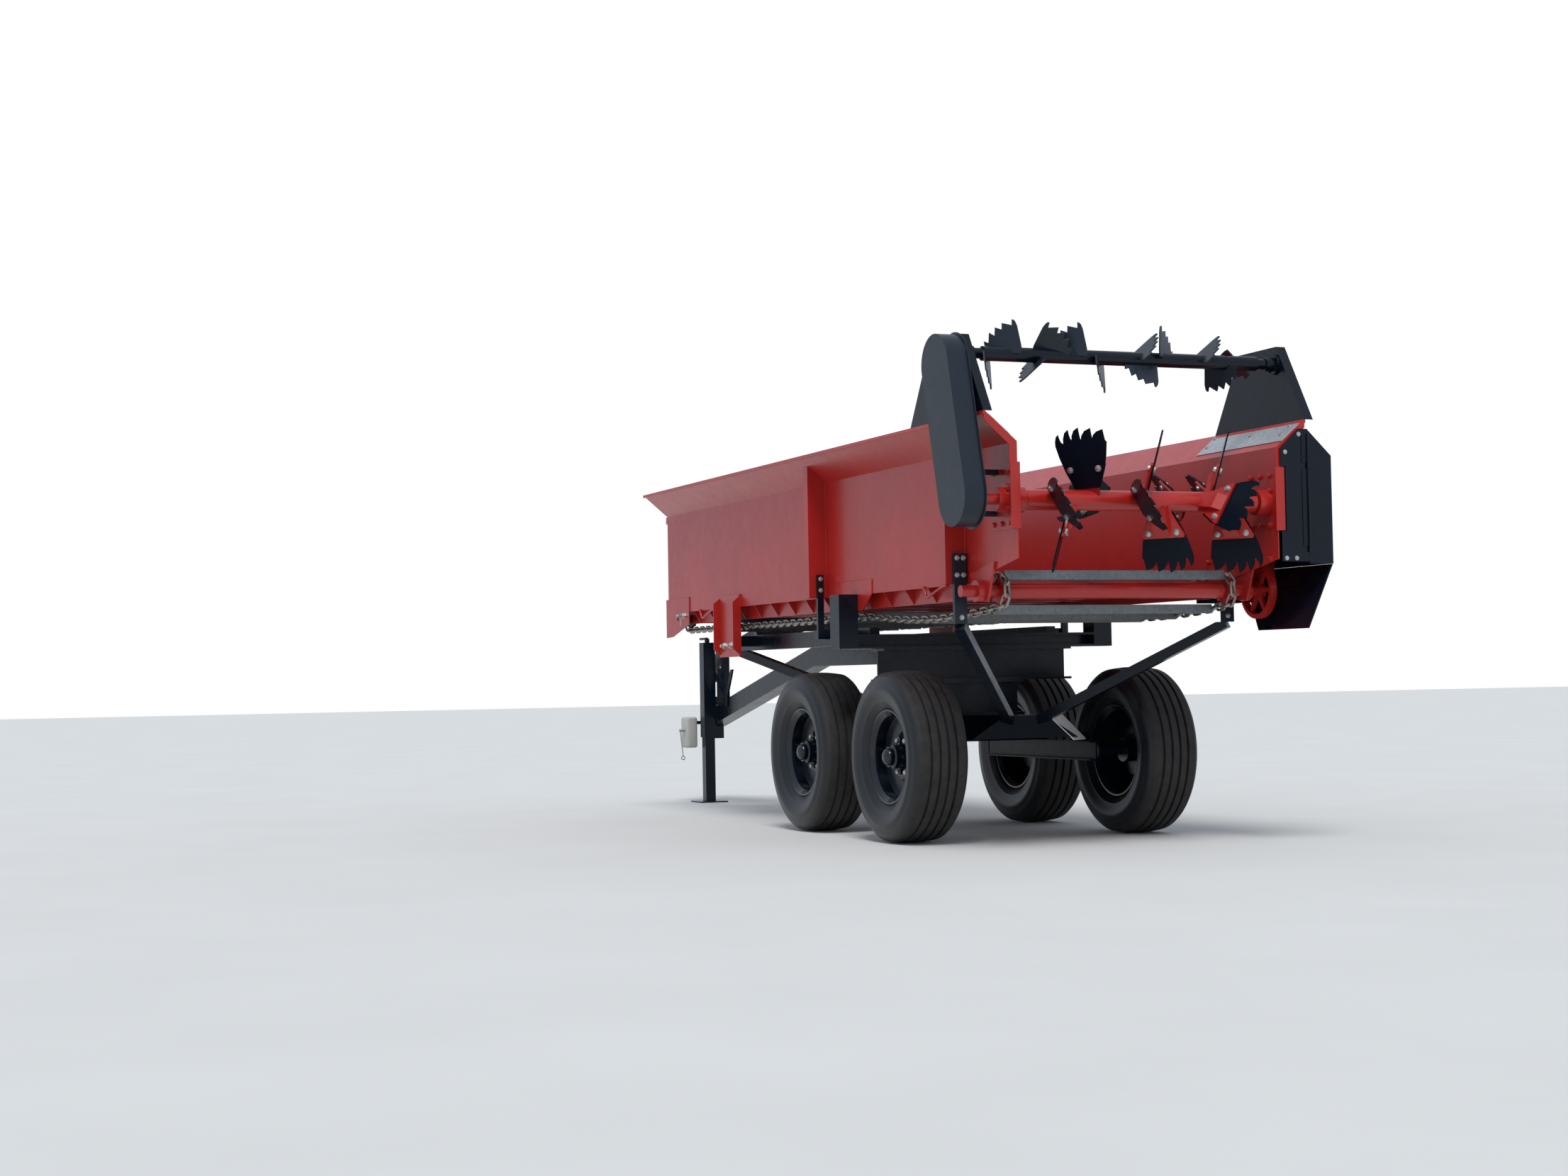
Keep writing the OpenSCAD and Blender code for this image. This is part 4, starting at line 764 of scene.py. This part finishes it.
class SPREADER_OT_box_bolts(bpy.types.Operator):
    """Bolts on the rear end, the front legs, the hangers, the middle straps and the corner plates"""

    bl_idname = "spreader.box_bolts"
    bl_label = "Box bolts"

    def execute(self, context):
        r = context.scene.spreader_look.bolt / math.sqrt(3)
        out, back, face = (0, 1, 0), (-1, 0, 0), WALL_OUT + PLATE - SUNK
        # Columns: place ahead of the lower beater's axis, and above it.
        plate = [[0.112, 0.115], [0.04, 0.115], [-0.033, 0.115], [-0.033, 0.049], [0.112, -0.099],
                 [0.04, -0.099], [-0.033, -0.099]]
        wall = [[0.474, -0.232], [-0.028, -0.243]]
        axis = middle("lower_beater")[[0, 2]]
        outer, inner = from_side(plate + axis, face), from_side(plate + wall + axis, WALL_IN + SUNK)
        shapes = [studs(outer, out, r, 0.011), studs(inner, (0, -1, 0), r, 0.011, 10, 1.1, 0.6)]
        piece("bearing_bolts", *joined(mirrored(shapes)), "red_paint", "chassis", False)

        # Where a second stud stands on a head, it is the bolt's end that shows past its nut.
        leg = np.array([[x, LEG_FACE - SUNK, 0.936] for x in (0.67, 0.773)])
        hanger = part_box("hangers")[0].x + SUNK
        rear = np.array([[hanger, y, z] for z in (1.253, 1.18) for y in (0.646, 0.676)])
        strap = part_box("side_posts")[1].x - POST_DEPTH - STRAP_DEPTH - SUNK
        corner = np.array([1.446, face, 1.121])
        shapes = [
            studs(leg, out, r * 1.4, 0.016),
            studs(leg + [0, 0.014, 0], out, 0.009, 0.014, 12, 1.0, 0.8),
            studs([*rear, (hanger, 0.657, 0.999)], back, r * 0.85, 0.01),
            studs(rear - [0.008, 0, 0], back, 0.0055, 0.014, 12, 1.0, 0.8),
            studs([(strap, 0.668, z) for z in (1.233, 1.178)], back, r * 0.85, 0.01),
            studs(corner, out, r * 1.3, 0.018),
            studs(corner + [0, 0.016, 0], out, 0.009, 0.034, 12, 1.0, 0.8),
            tube(rounded([[1.446, 0.656, 1.136], [1.446, 0.656, 1.11], [1.44, 0.658, 1.062]], 0.01), 0.003, 8),
        ]
        piece("frame_bolts", *joined(mirrored(shapes)), "chain_steel", "chassis", False, finish="fasteners")
        return {"FINISHED"}


class SPREADER_OT_rolled_beams(bpy.types.Operator):
    """Rolled sections under the box, and the straps that hang from its middle posts"""

    bl_idname = "spreader.rolled_beams"
    bl_label = "Rolled beams"

    def section(self, low, high, flange, web):
        """The outline of a rolled beam that lies across the machine: two flanges joined by a web."""
        (x0, z0), (x1, z1) = low, high
        a, b = (x0 + x1 - web) / 2, (x0 + x1 + web) / 2
        c, d = z0 + flange, z1 - flange
        return [(x0, z0), (x1, z0), (x1, c), (b, c), (b, d), (x1, d),
                (x1, z1), (x0, z1), (x0, d), (a, d), (a, c), (x0, c)]

    def execute(self, context):
        low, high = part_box("bolster_beams")
        flange, web = 0.011, 0.01
        # Columns: height of a beam's foot and top, and half its length.
        beams = ((0.887, 0.955, 0.63), (0.73, 0.887, 0.5), (0.563, 0.73, 0.24))
        shapes = []
        for foot, top, half in beams:
            outline = self.section((low.x, foot), (high.x, top), flange, web)
            shapes.append(extruded(from_side(outline, -half), (0, 2 * half, 0)))
        made = piece("rolled_bolster", *joined(shapes), "black_paint", "chassis", False)
        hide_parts("bolster_beams")

        # Each strap hangs behind its post and ends in a foot that reaches in to the chassis rail.
        post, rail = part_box("side_posts")[1].x - POST_DEPTH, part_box("chassis_rails")[1].y
        foot, rim = 0.94, 0.684
        straps = [
            bar((post - STRAP_DEPTH, 0.652, foot), (post, rim, 1.253)),
            bar((post, rail, foot), (post + 0.04, rim, foot + 0.045)),
        ]
        piece("middle_straps", *joined(mirrored(straps)), "black_paint", "chassis", False)
        return {"FINISHED"}


class SPREADER_OT_running_gear(bpy.types.Operator):
    """Channel-section walking beams with their spindles, the main axle on top of them and its folded housing"""

    bl_idname = "spreader.running_gear"
    bl_label = "Running gear"

    def execute(self, context):
        low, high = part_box("walking_beams")
        inner, outer, sheet, rear = 0.335, 0.374, 0.007, low.x + 0.02
        web, under, over = outer - sheet, high.z - sheet, low.z + sheet
        section = [(inner, low.z), (outer, low.z), (outer, high.z), (inner, high.z), (inner, under),
                   (web, under), (web, over), (inner, over)]
        shapes = mirrored([lengthwise(section, rear, high.x - rear)])
        # Painted shade: the beams wear the darker, duller copy of the black enamel.
        beams = piece("channel_beams", *joined(shapes), "black_paint", "chassis", False, finish="claw_paint")
        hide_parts("walking_beams")

        # A spindle starts inside its beam's web, with a collar there. It is thinner than the solid, so that its
        # flat facets clear those of the hub.
        spindle, collar, thick, start = 0.0215, 0.045, 0.013, outer - 0.003
        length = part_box("axles")[1].y - start
        profile = [(0, 0), (collar, 0), (collar, thick), (spindle, thick), (spindle, length), (0, length)]
        rods = []
        for wheel in ("rear_left", "front_left"):
            x, _, z = middle("tyre_" + wheel)
            rods.append(turned(profile, (x, start, z), (0, 1, 0), 32))
        spindles = piece("wheel_spindles", *joined(mirrored(rods)), "black_paint", "chassis")
        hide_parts("axles")

        # The housing is an open trough upside down, closed at both ends; the axle is a square tube under it.
        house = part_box("pedestal")
        back, front, top, foot = house[0].x, house[1].x, house[1].z, 0.458
        narrow, wide, skin, lip, square = 0.105, 0.275, 0.01, 0.012, 0.09
        end = [(lip - wide, foot), (-narrow, top - skin), (narrow, top - skin), (wide - lip, foot)]
        roof = [(-wide, foot), (-narrow, top), (narrow, top), (wide, foot), *end[::-1]]
        shapes = [lengthwise(roof, back, front - back)]
        shapes += [lengthwise(end, x, skin) for x in (back, front - skin)]
        heart = (low.x + high.x) / 2
        shapes.append(bar((heart - square / 2, -outer, high.z), (heart + square / 2, outer, high.z + square)))
        # Painted shade: the housing and axle wear the darker, duller copy of the black enamel.
        made = piece("axle_housing", *joined(shapes), "black_paint", "chassis", False, finish="claw_paint")
        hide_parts("pedestal")

        # A plate leans on the housing's rear corner, on the right side only. Its white is a painted reflection of
        # the bright sky on the plate.
        behind, ahead = back - 0.002, back + 0.068
        plate = [(behind, -0.102, 0.578), (behind, -0.252, 0.447), (ahead, -0.352, 0.447), (ahead, -0.218, 0.574)]
        leaf = extruded(plate, (0.003, 0.002, -0.004))
        piece("corner_plate", *leaf, "galvanised", "chassis", False, finish="white_paint")
        return {"FINISHED"}


class SPREADER_OT_front_legs(bpy.types.Operator):
    """Channel legs that open outwards: a web on the wall, and two fins with cut corners"""

    bl_idname = "spreader.front_legs"
    bl_label = "Front legs"

    def execute(self, context):
        low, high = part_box("front_legs")
        sheet, wall, rim = 0.006, WALL_OUT + 0.0002, 0.672
        fin = [[LEG_FACE, 0.885], [rim, 0.917], [rim, 1.167], [LEG_FACE, 1.195]]
        shapes = [bar((LEG_REAR, wall, low.z), (LEG_FRONT, LEG_FACE, high.z))]
        shapes += [lengthwise(fin, x, sheet) for x in (LEG_REAR, LEG_FRONT - sheet)]
        made = piece("leg_channels", *joined(mirrored(shapes)), "red_paint", "chassis", False)
        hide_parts("front_legs")
        return {"FINISHED"}


class SPREADER_OT_welds(bpy.types.Operator):
    """Painted weld beads round the plates on the box's walls"""

    bl_idname = "spreader.welds"
    bl_label = "Weld beads"

    def bead(self, corners, radius=0.0035):
        """A bead along a path of corners: a rod whose radius swells and shrinks by a sine of the distance run,
        once every 9 mm, as the weld's ripples do."""
        ripple, step, sides = 0.009, 0.003, 6
        length = distances(corners)[-1]
        at = np.linspace(0, length, max(8, int(length / step)))
        path = walked(corners, at)
        points, faces = tube(path, 1.0, sides)
        rings = points.reshape(-1, sides, 3)
        hearts = np.concatenate([path[:1], path, path[-1:]])[:, None]
        along = np.concatenate([at[:1], at, at[-1:]])[:, None, None]
        swell = radius * (1 + 0.16 * np.sin(2 * np.pi * along / ripple))
        swell[0] = swell[-1] = 0
        return (hearts + (rings - hearts) * swell).reshape(-1, 3), faces

    def execute(self, context):
        foot, top, plate, gap = WALL_FOOT, 1.2085, 0.36, 0.0005
        back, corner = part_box("bolster_posts")[0].x - 0.16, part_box("side_plates")[1].x - 0.395
        ends = ((back, back + plate), (LEG_REAR - gap, LEG_FRONT + gap))
        paths = [[(a, foot), (a, top), (b, top), (b, foot)] for a, b in ends]
        edge = top + 0.014
        paths.append([(corner, foot), (corner, edge), (corner + plate, edge)])
        shapes = [self.bead(from_side(path, WALL_OUT + 0.0012)) for path in paths]
        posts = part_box("side_posts")
        for x in (posts[0].x, posts[1].x - POST_DEPTH):
            shapes.append(self.bead(from_side([(x, foot), (x, 1.7)], WALL_OUT + gap)))
        piece("weld_beads", *joined(mirrored(shapes)), "red_paint", "chassis")
        return {"FINISHED"}


class SPREADER_OT_small_parts(bpy.types.Operator):
    """Bent hooks under the box's edges, and the papers' canister with its pin"""

    bl_idname = "spreader.small_parts"
    bl_label = "Small parts"

    def execute(self, context):
        # Columns: along the machine and height, from the end welded to the wall to the end by the tray.
        rear = np.array([[-1.775, 1.146], [-1.79, 1.134], [-1.812, 1.096], [-1.95, 1.134], [-2.02, 1.146]])
        rod, bend, between = 0.0062, 0.018, 2.965
        shapes = []
        for shift in (0, between):
            corners = from_side(rear + [shift, 0], WALL_OUT + 0.0065)
            shapes.append(tube(rounded(corners, bend), rod, 10))
        piece("box_hooks", *joined(mirrored(shapes)), "red_paint", "chassis")

        low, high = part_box("canister")
        box = soft_box(low, high, 0.024, 0.014)
        made = piece("papers_canister", *box, "canister_plastic", "chassis", angle=60)
        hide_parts("canister")
        # The pin hangs from a lug on the canister's side, and ends in a ring.
        x, y, z, ring = low.x + 0.03, high.y + 0.012, low.z - 0.062, 0.011
        a = np.linspace(0, 2 * np.pi, 20, endpoint=False)
        eye = np.stack([x + 0 * a, y + ring * np.sin(a), z + ring * np.cos(a)], 1)
        pin = [[x, high.y + 0.03, low.z + 0.118], [x, y, z + ring]]
        lug = bar((x - 0.012, high.y - 0.001, low.z + 0.1), (x + 0.012, high.y + 0.034, low.z + 0.112))
        shapes = [tube(eye, 0.0034, 8, True), tube(pin, 0.0036, 8), lug]
        piece("canister_pin", *joined(shapes), "chain_steel", "chassis", finish="fasteners")
        return {"FINISHED"}


class SPREADER_OT_cover_trim(bpy.types.Operator):
    """Rivets and the long hinge's knuckles on the right drive cover"""

    bl_idname = "spreader.cover_trim"
    bl_label = "Cover trim"

    def execute(self, context):
        # The cover's rear face, and the door's turning axis, as in the solids.
        back, axis_x, seam = -2.695, -2.7013, -0.7695
        spots = ((-0.728, 1.763), (-0.658, 1.685), (-0.655, 1.23), (-0.705, 1.23))
        rivets = studs([(back + SUNK, y, z) for y, z in spots], (-1, 0, 0), 0.0085, 0.006, 12, 1.2, 0.5)
        piece("cover_bolts", *rivets, "chain_steel", "chassis", finish="fasteners")

        # The hinge's knuckles lie on the door's turning axis, between and above the two that carry it.
        shapes = []
        for foot, top in ((1.3115, 1.6105), (1.6685, 1.765)):
            shapes.append(tube([[axis_x, seam, foot], [axis_x, seam, top]], 0.0055, 12))
            shapes.append(bar((back - 0.003, seam + 0.003, foot), (back, seam + 0.03, top)))
        piece("cover_hinge", *joined(shapes), "black_paint", "chassis")
        return {"FINISHED"}


class SPREADER_OT_wear_plate_bolts(bpy.types.Operator):
    """Bolts that hold the galvanised plates to the flares"""

    bl_idname = "spreader.wear_plate_bolts"
    bl_label = "Wear plate bolts"

    def execute(self, context):
        # Columns: along the machine, and across it; the plate's face gives the height.
        spots = np.array([[-2.025, 0.689], [-2.015, 0.738], [-2.343, 0.714], [-2.623, 0.687], [-2.623, 0.732]])
        # The wall's inner face bends out at the height bend, along the flare's (across, up) direction.
        bend, flare, wall_sheet, plate_sheet = 1.704, np.array([0.142, 0.121]), 0.005, 0.0031
        along = flare / np.linalg.norm(flare)
        out = np.array([-along[1], along[0]])
        corner = [WALL_IN, bend + wall_sheet * math.tan(math.atan2(*flare) / 2)] + out * plate_sheet
        lift = (spots[:, 1] - corner[0]) / along[0]
        places = np.column_stack([spots, corner[1] + lift * along[1]])
        heads = studs(places, (0, *out), 0.0085, 0.006, 12, 1.2, 0.5)
        piece("wear_bolts", *joined(mirrored([heads])), "chain_steel", "chassis", finish="fasteners")
        return {"FINISHED"}


OPERATORS = (
    SPREADER_OT_stage,
    SPREADER_OT_finishes,
    SPREADER_OT_tyres,
    SPREADER_OT_wheel_trim,
    SPREADER_OT_slats,
    SPREADER_OT_chains,
    SPREADER_OT_claw_bolts,
    SPREADER_OT_blades,
    SPREADER_OT_box_bolts,
    SPREADER_OT_rolled_beams,
    SPREADER_OT_running_gear,
    SPREADER_OT_front_legs,
    SPREADER_OT_welds,
    SPREADER_OT_small_parts,
    SPREADER_OT_cover_trim,
    SPREADER_OT_wear_plate_bolts,
)


class SPREADER_PT_panel(bpy.types.Panel):
    """Lists the steps that dress the spreader"""

    bl_label = "Manure Spreader"
    bl_idname = "SPREADER_PT_panel"
    bl_space_type = "VIEW_3D"
    bl_region_type = "UI"
    bl_category = "Spreader"

    def draw(self, context):
        for key in SpreaderLook.__annotations__:
            self.layout.prop(context.scene.spreader_look, key)
        for operator in OPERATORS:
            self.layout.operator(operator.bl_idname)


CLASSES = (SpreaderLook, *OPERATORS, SPREADER_PT_panel)


def register():
    for each in CLASSES:
        bpy.utils.register_class(each)
    bpy.types.Scene.spreader_look = PointerProperty(type=SpreaderLook)


def unregister():
    del bpy.types.Scene.spreader_look
    for each in reversed(CLASSES):
        bpy.utils.unregister_class(each)


def main():
    """Dresses the frame."""
    register()
    for operator in OPERATORS:
        group, name = operator.bl_idname.split(".")
        getattr(getattr(bpy.ops, group), name)()


if __name__ == "__main__":
    main()
